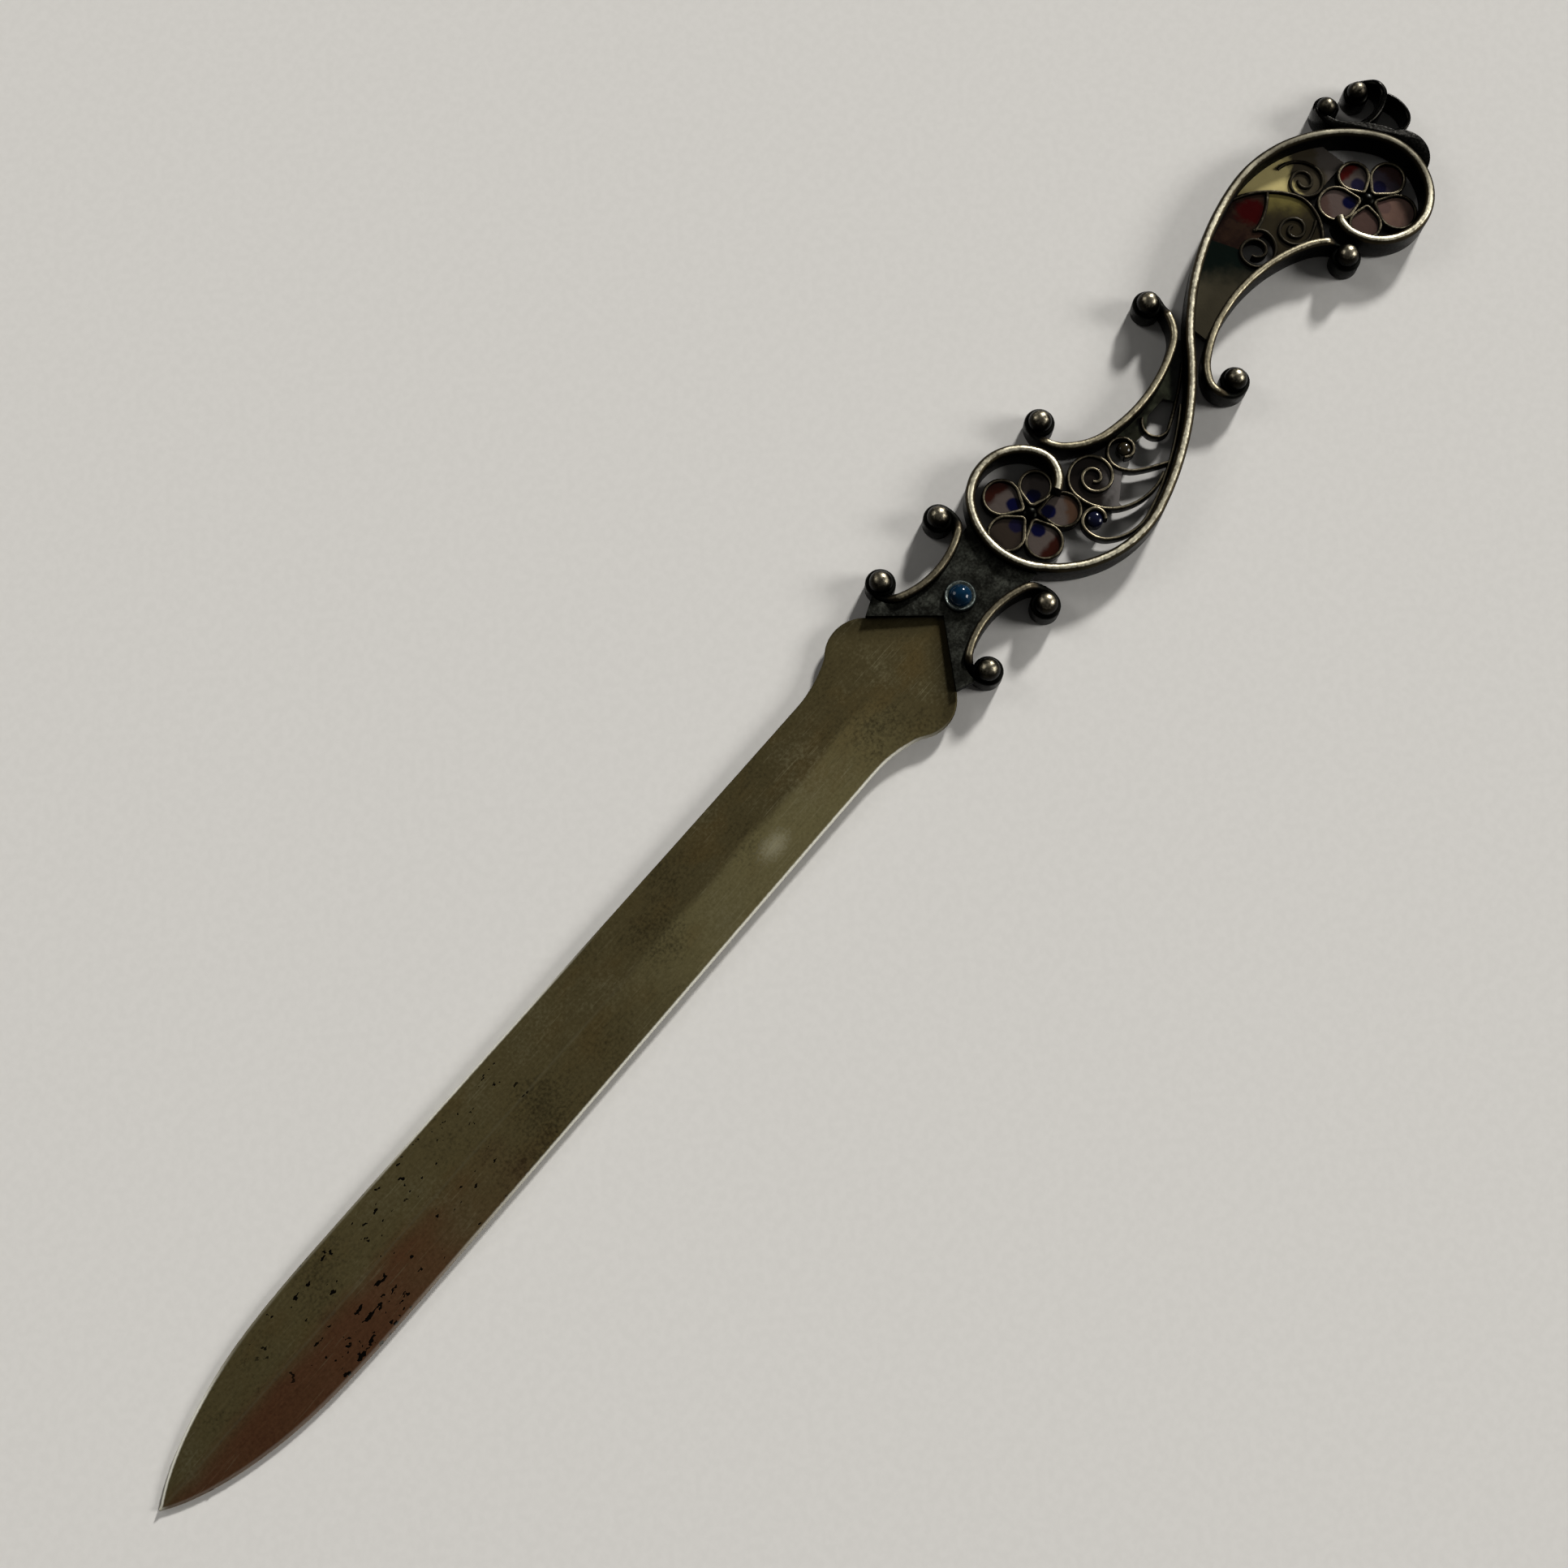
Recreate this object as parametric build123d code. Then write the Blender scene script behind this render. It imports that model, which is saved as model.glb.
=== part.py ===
from build123d import *
from math import asin, atan2, cos, degrees, radians, sin, tan
import os

# Millimetres. X runs along the opener from the blade's tip to the finial and Z is up from the flat back.
# The layout starts beside the S's middle. The finished pieces are moved along X by a small step, so that
# their origin is on the S's back, where its middle line crosses the blade's middle line.

# Blade
TIP_X = -161.6
TIP_HALF_ANGLE = 36.0
TIP_SWELL = (-153.5, 3.65)
BELLY_X = -128.0
BELLY_HALF = 5.8
WAIST_X = -58.5
WAIST_HALF = 5.5
EAR_START = (-52.4, 6.85)
EAR_TOP = (-49.9, 7.95)
SHOULDER = (-45.9, 6.0)
BLADE_RIDGE = 1.2
BLADE_EDGE = 0.62
TIP_THICK = 0.5
TIP_TAPER = 28.0
BLADE_LIFT = 1.45
TANG_END_X = -37.2
TANG_HALF = 2.5

# Strips on edge
FRAME_THICK = 1.15
FRAME_TALL = 3.8
SCROLL_THICK = 0.95
SCROLL_TALL = 3.5
EDGE_BEVEL = 0.34

# Rolled ends, filed lower than the strips, and the balls on them
ROLL_RADIUS = 1.22
ROLL_TURN = 200.0
ROLL_TALL = 2.6
ROLL_FILING = 0.1
BALL_RADIUS = 1.3
BALL_RISE = 0.25

# The S: tangent arcs outwards from its middle, each with a radius and a turn in degrees
S_MIDDLE = (0.0, -1.3)
S_HEADING = 42.7
S_UPPER = [(32.9, -36.0), (15.3, -70.0), (7.2, -71.0), (5.8, -127.0), (2.9, -49.0)]
S_LOWER = [(36.6, -29.0), (13.0, -72.0), (8.3, -72.0), (5.6, -120.0), (3.2, -92.0)]

# Side scrolls, also outwards from a middle point
LOWER_SIDE_MIDDLE = (-0.6, 0.7)
LOWER_SIDE_HEADING = 203.8
LOWER_SIDE_FRONT = [(19.7, -38.0), (8.2, -36.0), (3.85, -70.7)]
LOWER_SIDE_BACK = [(4.4, 36.0), (15.2, 12.4)]
UPPER_SIDE_MIDDLE = (0.7, -3.1)
UPPER_SIDE_HEADING = 30.3
UPPER_SIDE_FRONT = [(15.3, -19.0), (19.4, -39.0), (7.15, -41.2)]
UPPER_SIDE_BACK = [(6.3, 24.5), (2.15, 146.0)]

# Shield between blade and handle
SHIELD_MIDDLE = (-37.5, 3.65)
SHIELD_HALF_RUN = [(11.0, 25.0), (2.6, 84.0)]
PLATE_BOTTOM = 1.6
PLATE_TOP = 2.7
PLATE_APEX_X = -40.8
PLATE_LEG = (-46.3, 6.3)
PLATE_LEG_BACK = (-44.2, 7.2)
PLATE_FAR = (-28.0, 5.0)
PLATE_LAP = 0.8
STONE_X = -38.1
BEZEL_RADIUS = 1.75
BEZEL_WALL = 0.45
BEZEL_TALL = 0.7
STONE_RISE = 0.75

# Filigree wires and enamel, kept well below the frame's top edge
WIRE_THICK = 0.42
WIRE_BOTTOM = 0.5
WIRE_TOP = 1.9
ENAMEL_BOTTOM = 0.75
ENAMEL_TOP = 1.5
BEAD_BEVEL = 0.35

# Filigree wires: a point, the heading there, and the arcs backwards and forwards from it
EDGE_WIRE_START = 9.0
EDGE_WIRE_ON_BEND = 6.0
EDGE_CURL = [(5.55, -52.0), (2.8, -57.5), (1.55, -101.0), (1.16, -120.0)]
LARGE_SPIRAL_POINT = (-17.7, 0.45)
LARGE_SPIRAL_HEADING = 175.0
LARGE_SPIRAL_IN = [(2.4, -110.0), (1.9, -110.0), (1.45, -120.0), (1.0, -150.0), (0.6, -120.0)]
LARGE_SPIRAL_OUT = [(2.7, 92.0), (5.4, 57.0), (6.6, 56.0)]
SMALL_SPIRAL_POINT = (-13.9, -1.15)
SMALL_SPIRAL_HEADING = 200.0
SMALL_SPIRAL_IN = [(1.5, -120.0), (1.05, -130.0)]
SMALL_SPIRAL_OUT = [(2.0, 85.0), (3.4, 36.0), (20.0, 11.0)]
ARCH_POINT = (-9.2, -2.1)
ARCH_HEADING = 212.0
ARCH_SHORT_LEG = [(10.0, -2.0)]
ARCH_LONG_LEG = [(1.65, 78.0), (1.4, 91.0), (35.0, 13.0)]
FAR_SPIRAL_POINT = (27.35, 2.0)
FAR_SPIRAL_HEADING = 270.0
FAR_SPIRAL_TAIL = [(3.2, 85.0)]
FAR_SPIRAL_IN = [(2.0, -150.0), (1.6, -120.0), (1.15, -150.0), (0.75, -180.0)]
LEAF_POINT = (19.2, 6.2)
LEAF_HEADING = -30.6
LEAF_BACK = [(9.45, 9.0)]
LEAF_FRONT = [(9.45, -36.0), (3.63, -39.8), (6.44, -43.0)]
VEIN_START = (21.4, 4.3)
VEIN_HEADING = 220.0
VEIN_RUN = [(8.0, -36.0)]
NEAR_SPIRAL_POINT = (17.5, 1.2)
NEAR_SPIRAL_HEADING = 270.0
NEAR_SPIRAL_TAIL = [(1.6, 60.0)]
NEAR_SPIRAL_IN = [(2.4, -100.0), (1.9, -120.0), (1.5, -150.0), (1.0, -170.0)]
MIDDLE_SPIRAL_POINT = (18.0, -0.8)
MIDDLE_SPIRAL_HEADING = 270.0
MIDDLE_SPIRAL_IN = [(1.55, -160.0), (1.15, -150.0), (0.75, -170.0)]
MIDDLE_SPIRAL_TAIL = [(1.9, 100.0), (6.0, 20.0)]

# Enamel left in the cells: a point inside each, and the broken edge where it does not reach the metal
GREY_PROBE = (-18.4, -4.5)
GREY_EDGE = [(-22, 1), (-22, -7.5), (-18.3, -7.5), (-18.2, -6.1), (-16.8, -5.2), (-14.5, -3.7), (-14.5, 1)]
GREEN_PROBE = (-10.8, -1.9)
GREEN_EDGE = [
    (-13.2, 1),
    (-13.2, -2.0),
    (-11.4, -3.1),
    (-9.8, -3.2),
    (-8.3, -2.2),
    (-5.6, -2.2),
    (-4.6, -4),
    (0, -2),
    (1.2, 0.5),
    (0, 2),
]
YELLOW_PROBE = (23.2, 4.4)
YELLOW_EDGE = [(14, 9), (30, 9), (30, 0), (14, 0)]
RED_PROBE = (18.4, 4.3)
RED_EDGE = [(14.0, 2.2), (12.4, 6.6), (12.4, 9), (24, 9), (24, 0)]
LIGHT_PROBE = (21.3, 1.3)
LIGHT_EDGE = [(14, 6), (26, 6), (26, -8), (14, -8)]
DARK_PROBE = (12.3, 2.3)
DARK_EDGE = [(3, -3), (3, 6), (12.4, 9), (12.4, 6.6), (14.0, 2.2), (16, 2), (16, -3)]

# Flowers, bent by hand, so the petals of one flower differ in length
PETAL_LAP = 0.06
PETAL_BASE_RADIUS = 0.55
PETAL_HEEL = 0.1
FLOWER_BEAD_RADIUS = 0.95
LOWER_FLOWER = (-25.45, 0.45)
LOWER_FLOWER_TURN = 28.8
LOWER_PETALS = [5.1, 5.75, 5.75, 5.75, 5.75]
UPPER_FLOWER = (28.1, -4.75)
UPPER_FLOWER_TURN = -3.7
UPPER_PETALS = [5.5, 5.0, 5.8, 5.0, 5.9]

# Finial on the far loop: a strip along the loop, a hook on it and a thin loop beside the hook
FINIAL_TALL = 3.3
FINIAL_LOOP_THICK = 0.6
FINIAL_ROLL_RADIUS = 1.0
FINIAL_BALL_RADIUS = 1.15
FINIAL_BASE_START = 56.0
FINIAL_BASE_CURL = [(2.7, -79.0)]
FINIAL_LOBE_AT = (33.9, -4.6)
FINIAL_LOBE_RADIUS = 3.2
FINIAL_HOOK_START = (34.2, 1.1)
FINIAL_HOOK_HEADING = -22.3
FINIAL_HOOK_RUN = [(5.0, 52.0), (1.6, 90.0), (3.2, 40.0)]
FINIAL_LOOP_START = (38.94, 1.17)
FINIAL_LOOP_HEADING = -71.7
FINIAL_LOOP_RUN = [(3.9, -42.5), (1.79, -94.6), (3.81, -30.0)]


def at(point, z=0.0):
    """A vector from a plan point and a height."""
    return Vector(point[0], point[1], z)


def walk(start, heading, arcs):
    """Each arc's centre, signed radius and headings, walked from a start point. Left turns are positive."""
    legs = []
    x, y = start
    angle = radians(heading)
    for radius, turn in arcs:
        signed = radius if turn > 0 else -radius
        centre = (x - signed * sin(angle), y + signed * cos(angle))
        finish = angle + radians(turn)
        legs.append((centre, signed, angle, finish))
        x = centre[0] + signed * sin(finish)
        y = centre[1] - signed * cos(finish)
        angle = finish
    return legs


def end_of(legs):
    """The point and heading, in degrees, where a walk ends."""
    centre, signed, _, finish = legs[-1]
    return (centre[0] + signed * sin(finish), centre[1] - signed * cos(finish)), degrees(finish)


def outwards(middle, heading, back, front):
    """A walk through both runs of a scroll that is given outwards from its middle point."""
    point, angle = end_of(walk(middle, heading + 180, back))
    turned = [(radius, -turn) for radius, turn in reversed(back)]
    return walk(point, angle + 180, turned + front)


def side_edges(legs, shift):
    """The walk's arcs, moved to the left by a distance."""
    edges = []
    for centre, signed, begin, finish in legs:
        reach = signed - shift
        headings = (begin, (begin + finish) / 2, finish)
        points = [(centre[0] + reach * sin(a), centre[1] - reach * cos(a)) for a in headings]
        edges.append(ThreePointArc(*points))
    return edges


def ribbon(legs, thick):
    """The plan of a strip that follows a walk."""
    left = side_edges(legs, thick / 2)
    right = side_edges(legs, -thick / 2)
    caps = [Line(left[0] @ 0, right[0] @ 0), Line(left[-1] @ 1, right[-1] @ 1)]
    return make_face(left + right + caps)


def slab(plan, bottom, top):
    """A plan raised between two heights."""
    return Pos(0, 0, bottom) * extrude(plan, top - bottom)


def polygon(*points):
    """A straight-sided plan."""
    return make_face(Polyline(*points, close=True))


def bevelled_strip(legs, thick, tall):
    """A strip on edge with its two long top edges taken off."""
    body = slab(ribbon(legs, thick), 0, tall)
    top = body.faces().sort_by(Axis.Z)[-1]
    long_edges = top.edges().filter_by(GeomType.CIRCLE)
    return chamfer(long_edges, EDGE_BEVEL)


def roll(turn_sign, radius=ROLL_RADIUS):
    """The last arc of a strip's rolled end."""
    return (radius, turn_sign * ROLL_TURN)


def roll_top(leg, radius):
    """What is filed off a rolled end, so that a ball has a flat to sit on and room beside the strip."""
    filed = ribbon([leg], SCROLL_THICK + 2 * ROLL_FILING) + Pos(at(leg[0])) * Circle(radius)
    return slab(filed, ROLL_TALL, ROLL_TALL + FRAME_TALL)


def ball(leg, radius):
    """A ball on a rolled end, flat underneath."""
    below = degrees(asin(BALL_RISE / radius))
    seated = (Align.CENTER, Align.CENTER, Align.MIN)
    return Pos(at(leg[0], ROLL_TALL)) * Sphere(radius, -below, 90, align=seated)


def holding(plan, probe):
    """The one face of a plan that holds a point."""
    for face in plan.faces():
        if face.is_inside(at(probe)):
            return face
    raise ValueError(f"no face of the plan holds {probe}")


parts = {}

# S-frame
s_legs = outwards(S_MIDDLE, S_HEADING, S_LOWER, S_UPPER)
s_plan = ribbon(s_legs, FRAME_THICK)
parts["s_frame"] = bevelled_strip(s_legs, FRAME_THICK, FRAME_TALL)
s_block = slab(s_plan, -1, FRAME_TALL + 1)

# Side scrolls, filed to the S where they meet it
lower_side_legs = outwards(
    LOWER_SIDE_MIDDLE,
    LOWER_SIDE_HEADING,
    LOWER_SIDE_BACK + [roll(1)],
    LOWER_SIDE_FRONT + [roll(-1)],
)
upper_side_legs = outwards(
    UPPER_SIDE_MIDDLE,
    UPPER_SIDE_HEADING,
    UPPER_SIDE_BACK + [roll(1)],
    UPPER_SIDE_FRONT + [roll(-1)],
)
for name, legs in (("lower", lower_side_legs), ("upper", upper_side_legs)):
    strip = bevelled_strip(legs, SCROLL_THICK, SCROLL_TALL) - s_block
    for end, leg in (("back", legs[0]), ("front", legs[-1])):
        strip = strip - roll_top(leg, BALL_RADIUS)
        parts[f"ball_{name}_side_{end}"] = ball(leg, BALL_RADIUS)
    parts[f"side_scroll_{name}"] = strip
sides_plan = ribbon(lower_side_legs, SCROLL_THICK) + ribbon(upper_side_legs, SCROLL_THICK)
frame_plan = s_plan + sides_plan

# Shield scrolls, a mirrored pair
shield_back = SHIELD_HALF_RUN + [roll(1)]
shield_front = [(radius, -turn) for radius, turn in SHIELD_HALF_RUN] + [roll(-1)]
shield_legs = outwards(SHIELD_MIDDLE, 180, shield_back, shield_front)
shield_strip = bevelled_strip(shield_legs, SCROLL_THICK, SCROLL_TALL)
for end, leg in (("far", shield_legs[0]), ("near", shield_legs[-1])):
    shield_strip = shield_strip - roll_top(leg, BALL_RADIUS)
    left_ball = ball(leg, BALL_RADIUS)
    parts[f"ball_shield_left_{end}"] = left_ball
    parts[f"ball_shield_right_{end}"] = mirror(left_ball, Plane.XZ)
parts["shield_scroll_left"] = shield_strip - s_block
parts["shield_scroll_right"] = mirror(shield_strip, Plane.XZ) - s_block

# Blade: plan outline, ridged section and tapering side view, all cut from one block
tip_heading = (cos(radians(TIP_HALF_ANGLE)), sin(radians(TIP_HALF_ANGLE)))
tip_side = Spline((TIP_X, 0), TIP_SWELL, (BELLY_X, BELLY_HALF), tangents=(tip_heading, (1, 0)))
long_side = Spline((BELLY_X, BELLY_HALF), (WAIST_X, WAIST_HALF), tangents=((1, 0), (1, 0)))
flare = TangentArc((WAIST_X, WAIST_HALF), EAR_START, tangent=(1, 0))
ear = ThreePointArc(EAR_START, EAR_TOP, SHOULDER)
lap_x = PLATE_APEX_X + PLATE_LAP
tang_root = lap_x - TANG_HALF * (lap_x - SHOULDER[0] - PLATE_LAP) / SHOULDER[1]
top_side = Polyline(
    SHOULDER,
    (SHOULDER[0] + PLATE_LAP, SHOULDER[1]),
    (tang_root, TANG_HALF),
    (TANG_END_X, TANG_HALF),
    (TANG_END_X, 0),
)
middle_line = Line((TANG_END_X, 0), (TIP_X, 0))
half_blade = make_face([tip_side, long_side, flare, ear] + top_side.edges() + [middle_line])
blade_plan = half_blade + mirror(half_blade, Plane.XZ)
ear_half = EAR_TOP[1]


def blade_section(x, ridge):
    """The blade's flat diamond section at one place along it."""
    edge = ridge * BLADE_EDGE / BLADE_RIDGE
    upper = [(-ear_half, edge / 2), (0, ridge / 2), (ear_half, edge / 2)]
    lower = [(y, -z) for y, z in reversed(upper)]
    return Plane.YZ.offset(x) * polygon(*upper, *lower)


taper_end = TIP_X + TIP_TAPER
full_section = blade_section(taper_end, BLADE_RIDGE)
tip_bar = loft([blade_section(TIP_X, TIP_THICK), full_section], ruled=True)
long_bar = extrude(full_section, TANG_END_X - taper_end, dir=(1, 0, 0))
flat_blade = slab(blade_plan, -BLADE_RIDGE, BLADE_RIDGE) & (tip_bar + long_bar)
cant = asin((BLADE_LIFT - TIP_THICK / 2) / (PLATE_APEX_X - TIP_X))
canted = Rot(0, -degrees(cant), 0) * Pos(-TIP_X, 0, 0) * flat_blade
parts["blade"] = Pos(TIP_X, 0, -canted.bounding_box().min.Z) * canted

# Shield plate: a chevron that stops at the scrolls and the S, with the blade let into its underside
half_plate = polygon(
    (PLATE_APEX_X, 0),
    PLATE_LEG,
    PLATE_LEG_BACK,
    (SHIELD_MIDDLE[0], SHIELD_MIDDLE[1]),
    PLATE_FAR,
    (PLATE_FAR[0], 0),
)
shield_plan = ribbon(shield_legs, SCROLL_THICK)
shield_plans = shield_plan + mirror(shield_plan, Plane.XZ)
whole_plate = half_plate + mirror(half_plate, Plane.XZ)
plate_plan = holding(whole_plate - shield_plans - s_plan, (STONE_X, 0))
parts["shield_plate"] = slab(plate_plan, PLATE_BOTTOM, PLATE_TOP) - parts["blade"]

# Stone in its collar
collar = Cylinder(BEZEL_RADIUS, BEZEL_TALL) - Cylinder(BEZEL_RADIUS - BEZEL_WALL, BEZEL_TALL)
parts["stone_bezel"] = Pos(STONE_X, 0, PLATE_TOP + BEZEL_TALL / 2) * collar
stone_radius = BEZEL_RADIUS - BEZEL_WALL
dome_radius = (stone_radius**2 + STONE_RISE**2) / (2 * STONE_RISE)
dome = Pos(0, 0, BEZEL_TALL / 2 + STONE_RISE - dome_radius) * Sphere(dome_radius)
pillar = Cylinder(stone_radius, BEZEL_TALL + 2 * STONE_RISE)
stone = pillar & (dome + Cylinder(stone_radius, BEZEL_TALL)) & (Pos(0, 0, STONE_RISE) * pillar)
parts["blue_cabochon"] = Pos(STONE_X, 0, PLATE_TOP + BEZEL_TALL / 2) * stone


def bead(centre, radius):
    """A short bead with its top edge taken off, as tall as the wires."""
    drum = Pos(at(centre, WIRE_BOTTOM)) * extrude(Circle(radius), WIRE_TOP - WIRE_BOTTOM)
    return chamfer(drum.faces().sort_by(Axis.Z)[-1].edges(), BEAD_BEVEL)


def petal_outline(big_radius, big_at, small_radius, small_at):
    """A rounded petal along X: two circles and the lines that touch both."""
    slope = asin((big_radius - small_radius) / (big_at - small_at))
    big_touch = (big_at - big_radius * sin(slope), big_radius * cos(slope))
    small_touch = (small_at - small_radius * sin(slope), small_radius * cos(slope))
    round_end = ThreePointArc(big_touch, (big_at + big_radius, 0), (big_touch[0], -big_touch[1]))
    base_end = ThreePointArc(small_touch, (small_at - small_radius, 0), (small_touch[0], -small_touch[1]))
    upper = Line(small_touch, big_touch)
    lower = Line((small_touch[0], -small_touch[1]), (big_touch[0], -big_touch[1]))
    return make_face([upper, round_end, lower, base_end])


def flower(name, middle, first_turn, reaches):
    """Petal wires that meet each other along flats, their enamel and a bead in the middle."""
    half = radians(180 / len(reaches))
    bead_plan = Circle(FLOWER_BEAD_RADIUS)
    inner_base = PETAL_BASE_RADIUS - WIRE_THICK / 2
    base_at = FLOWER_BEAD_RADIUS + PETAL_HEEL + inner_base
    plans = Pos(at(middle)) * bead_plan
    for number, reach in enumerate(reaches):
        big_radius = reach * sin(half) / (1 + sin(half)) + PETAL_LAP
        big_at = reach - big_radius
        far_corner = (2 * reach * cos(half), 2 * reach * sin(half))
        wedge = polygon((0, 0), (far_corner[0], -far_corner[1]), far_corner)
        outer = petal_outline(big_radius, big_at, PETAL_BASE_RADIUS, base_at) & wedge
        inner = petal_outline(big_radius - WIRE_THICK, big_at, inner_base, base_at)
        turned = Pos(at(middle)) * Rot(0, 0, first_turn + number * 360 / len(reaches))
        wire = turned * (outer - inner - bead_plan) - frame_plan
        enamel = turned * (inner - bead_plan) - frame_plan
        parts[f"{name}_petal_wire_{number + 1}"] = slab(wire, WIRE_BOTTOM, WIRE_TOP)
        parts[f"{name}_petal_enamel_{number + 1}"] = slab(enamel, ENAMEL_BOTTOM, ENAMEL_TOP)
        plans = plans + turned * outer
    parts[f"{name}_flower_bead"] = bead(middle, FLOWER_BEAD_RADIUS)
    return plans


lower_flower_plan = flower("lower", LOWER_FLOWER, LOWER_FLOWER_TURN, LOWER_PETALS)
upper_flower_plan = flower("upper", UPPER_FLOWER, UPPER_FLOWER_TURN, UPPER_PETALS)

# Lower filigree: the edge wire lies against the S's inner wall, then curls inwards round a bead
wall_gap = (FRAME_THICK + WIRE_THICK) / 2
wall_point, wall_heading = end_of(walk(S_MIDDLE, S_HEADING + 180, [(S_LOWER[0][0], -EDGE_WIRE_START)]))
edge_start = (
    wall_point[0] + wall_gap * sin(radians(wall_heading)),
    wall_point[1] - wall_gap * cos(radians(wall_heading)),
)
edge_arcs = [
    (S_LOWER[0][0] - wall_gap, S_LOWER[0][1] + EDGE_WIRE_START),
    (S_LOWER[1][0] - wall_gap, -EDGE_WIRE_ON_BEND),
] + EDGE_CURL
edge_legs = walk(edge_start, wall_heading, edge_arcs)
large_legs = outwards(LARGE_SPIRAL_POINT, LARGE_SPIRAL_HEADING, LARGE_SPIRAL_IN, LARGE_SPIRAL_OUT)
small_legs = outwards(SMALL_SPIRAL_POINT, SMALL_SPIRAL_HEADING, SMALL_SPIRAL_IN, SMALL_SPIRAL_OUT)
arch_legs = outwards(ARCH_POINT, ARCH_HEADING, ARCH_SHORT_LEG, ARCH_LONG_LEG)

# Upper filigree
far_legs = outwards(FAR_SPIRAL_POINT, FAR_SPIRAL_HEADING, FAR_SPIRAL_TAIL, FAR_SPIRAL_IN)
leaf_legs = outwards(LEAF_POINT, LEAF_HEADING, LEAF_BACK, LEAF_FRONT)
vein_legs = walk(VEIN_START, VEIN_HEADING, VEIN_RUN)
near_legs = outwards(NEAR_SPIRAL_POINT, NEAR_SPIRAL_HEADING, NEAR_SPIRAL_TAIL, NEAR_SPIRAL_IN)
middle_legs = outwards(MIDDLE_SPIRAL_POINT, MIDDLE_SPIRAL_HEADING, MIDDLE_SPIRAL_IN, MIDDLE_SPIRAL_TAIL)

# Each wire is filed off where it meets the metal laid before it
metal = frame_plan + lower_flower_plan + upper_flower_plan
wires = {
    "lower_edge_wire": ribbon(edge_legs, WIRE_THICK),
    "lower_large_spiral": ribbon(large_legs, WIRE_THICK),
    "lower_small_spiral": ribbon(small_legs, WIRE_THICK),
    "lower_arch_wire": ribbon(arch_legs, WIRE_THICK),
    "upper_leaf_wire": ribbon(leaf_legs, WIRE_THICK) + ribbon(vein_legs, WIRE_THICK),
    "upper_far_spiral": ribbon(far_legs, WIRE_THICK),
    "upper_near_spiral": ribbon(near_legs, WIRE_THICK),
    "upper_middle_spiral": ribbon(middle_legs, WIRE_THICK),
}
for name, plan in wires.items():
    filed = (plan - metal).faces().sort_by(SortBy.AREA)[-1]
    parts[name] = slab(filed, WIRE_BOTTOM, WIRE_TOP)
    metal = metal + plan
parts["lower_blue_bead"] = bead(edge_legs[-1][0], EDGE_CURL[-1][0] - WIRE_THICK / 2)
parts["lower_yellow_bead"] = bead(small_legs[0][0], SMALL_SPIRAL_IN[-1][0] - WIRE_THICK / 2)


def enamel(probe, edge):
    """Enamel that fills an outline up to the metal all round."""
    return slab(holding(polygon(*edge) - metal, probe), ENAMEL_BOTTOM, ENAMEL_TOP)


parts["lower_grey_enamel"] = enamel(GREY_PROBE, GREY_EDGE)
parts["lower_green_enamel"] = enamel(GREEN_PROBE, GREEN_EDGE)
parts["upper_yellow_enamel"] = enamel(YELLOW_PROBE, YELLOW_EDGE)
parts["upper_red_enamel"] = enamel(RED_PROBE, RED_EDGE)
parts["upper_light_enamel"] = enamel(LIGHT_PROBE, LIGHT_EDGE)
parts["upper_dark_enamel"] = enamel(DARK_PROBE, DARK_EDGE)

# Finial: the base strip lies against the loop's outer wall, from its rolled end to the leaf-shaped lobe
beside = (FRAME_THICK + SCROLL_THICK) / 2
loop_run = [S_UPPER[0], (S_UPPER[1][0], -FINIAL_BASE_START)]
loop_point, loop_heading = end_of(walk(S_MIDDLE, S_HEADING, loop_run))
base_start = (
    loop_point[0] - beside * sin(radians(loop_heading)),
    loop_point[1] + beside * cos(radians(loop_heading)),
)
loop_centre, _, loop_begin, _ = walk(S_MIDDLE, S_HEADING, S_UPPER)[2]
lobe_heading = atan2(loop_centre[0] - FINIAL_LOBE_AT[0], FINIAL_LOBE_AT[1] - loop_centre[1])
base_run = [
    (S_UPPER[1][0] + beside, S_UPPER[1][1] + FINIAL_BASE_START),
    (S_UPPER[2][0] + beside, degrees(lobe_heading - loop_begin)),
]
base_curl = FINIAL_BASE_CURL + [roll(-1, FINIAL_ROLL_RADIUS)]
base_legs = outwards(base_start, loop_heading, base_curl, base_run)
hook_run = FINIAL_HOOK_RUN + [roll(1, FINIAL_ROLL_RADIUS)]
hook_legs = walk(FINIAL_HOOK_START, FINIAL_HOOK_HEADING, hook_run)
thin_legs = walk(FINIAL_LOOP_START, FINIAL_LOOP_HEADING, FINIAL_LOOP_RUN)
lobe = Pos(at(FINIAL_LOBE_AT)) * Circle(FINIAL_LOBE_RADIUS)
base_plan = ribbon(base_legs, SCROLL_THICK) + (lobe - s_plan).faces().sort_by(Axis.X)[-1]
hook_plan = ribbon(hook_legs, SCROLL_THICK) - base_plan - s_plan
thin_plan = ribbon(thin_legs, FINIAL_LOOP_THICK) - hook_plan - base_plan - s_plan
for name, plan, leg in (("base", base_plan, base_legs[0]), ("hook", hook_plan, hook_legs[-1])):
    strip = slab(plan.faces().sort_by(SortBy.AREA)[-1], 0, FINIAL_TALL)
    parts[f"finial_{name}"] = strip - roll_top(leg, FINIAL_BALL_RADIUS)
    parts[f"ball_finial_{name}"] = ball(leg, FINIAL_BALL_RADIUS)
parts["finial_loop"] = slab(thin_plan.faces().sort_by(SortBy.AREA)[-1], 0, FINIAL_TALL)

# The finished pieces, with the origin on the S's back
origin_x = S_MIDDLE[0] - S_MIDDLE[1] / tan(radians(S_HEADING))
os.makedirs("parts", exist_ok=True)
for name, shape in parts.items():
    export_step(Pos(-origin_x, 0, 0) * shape, f"parts/{name}.step")
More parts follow.
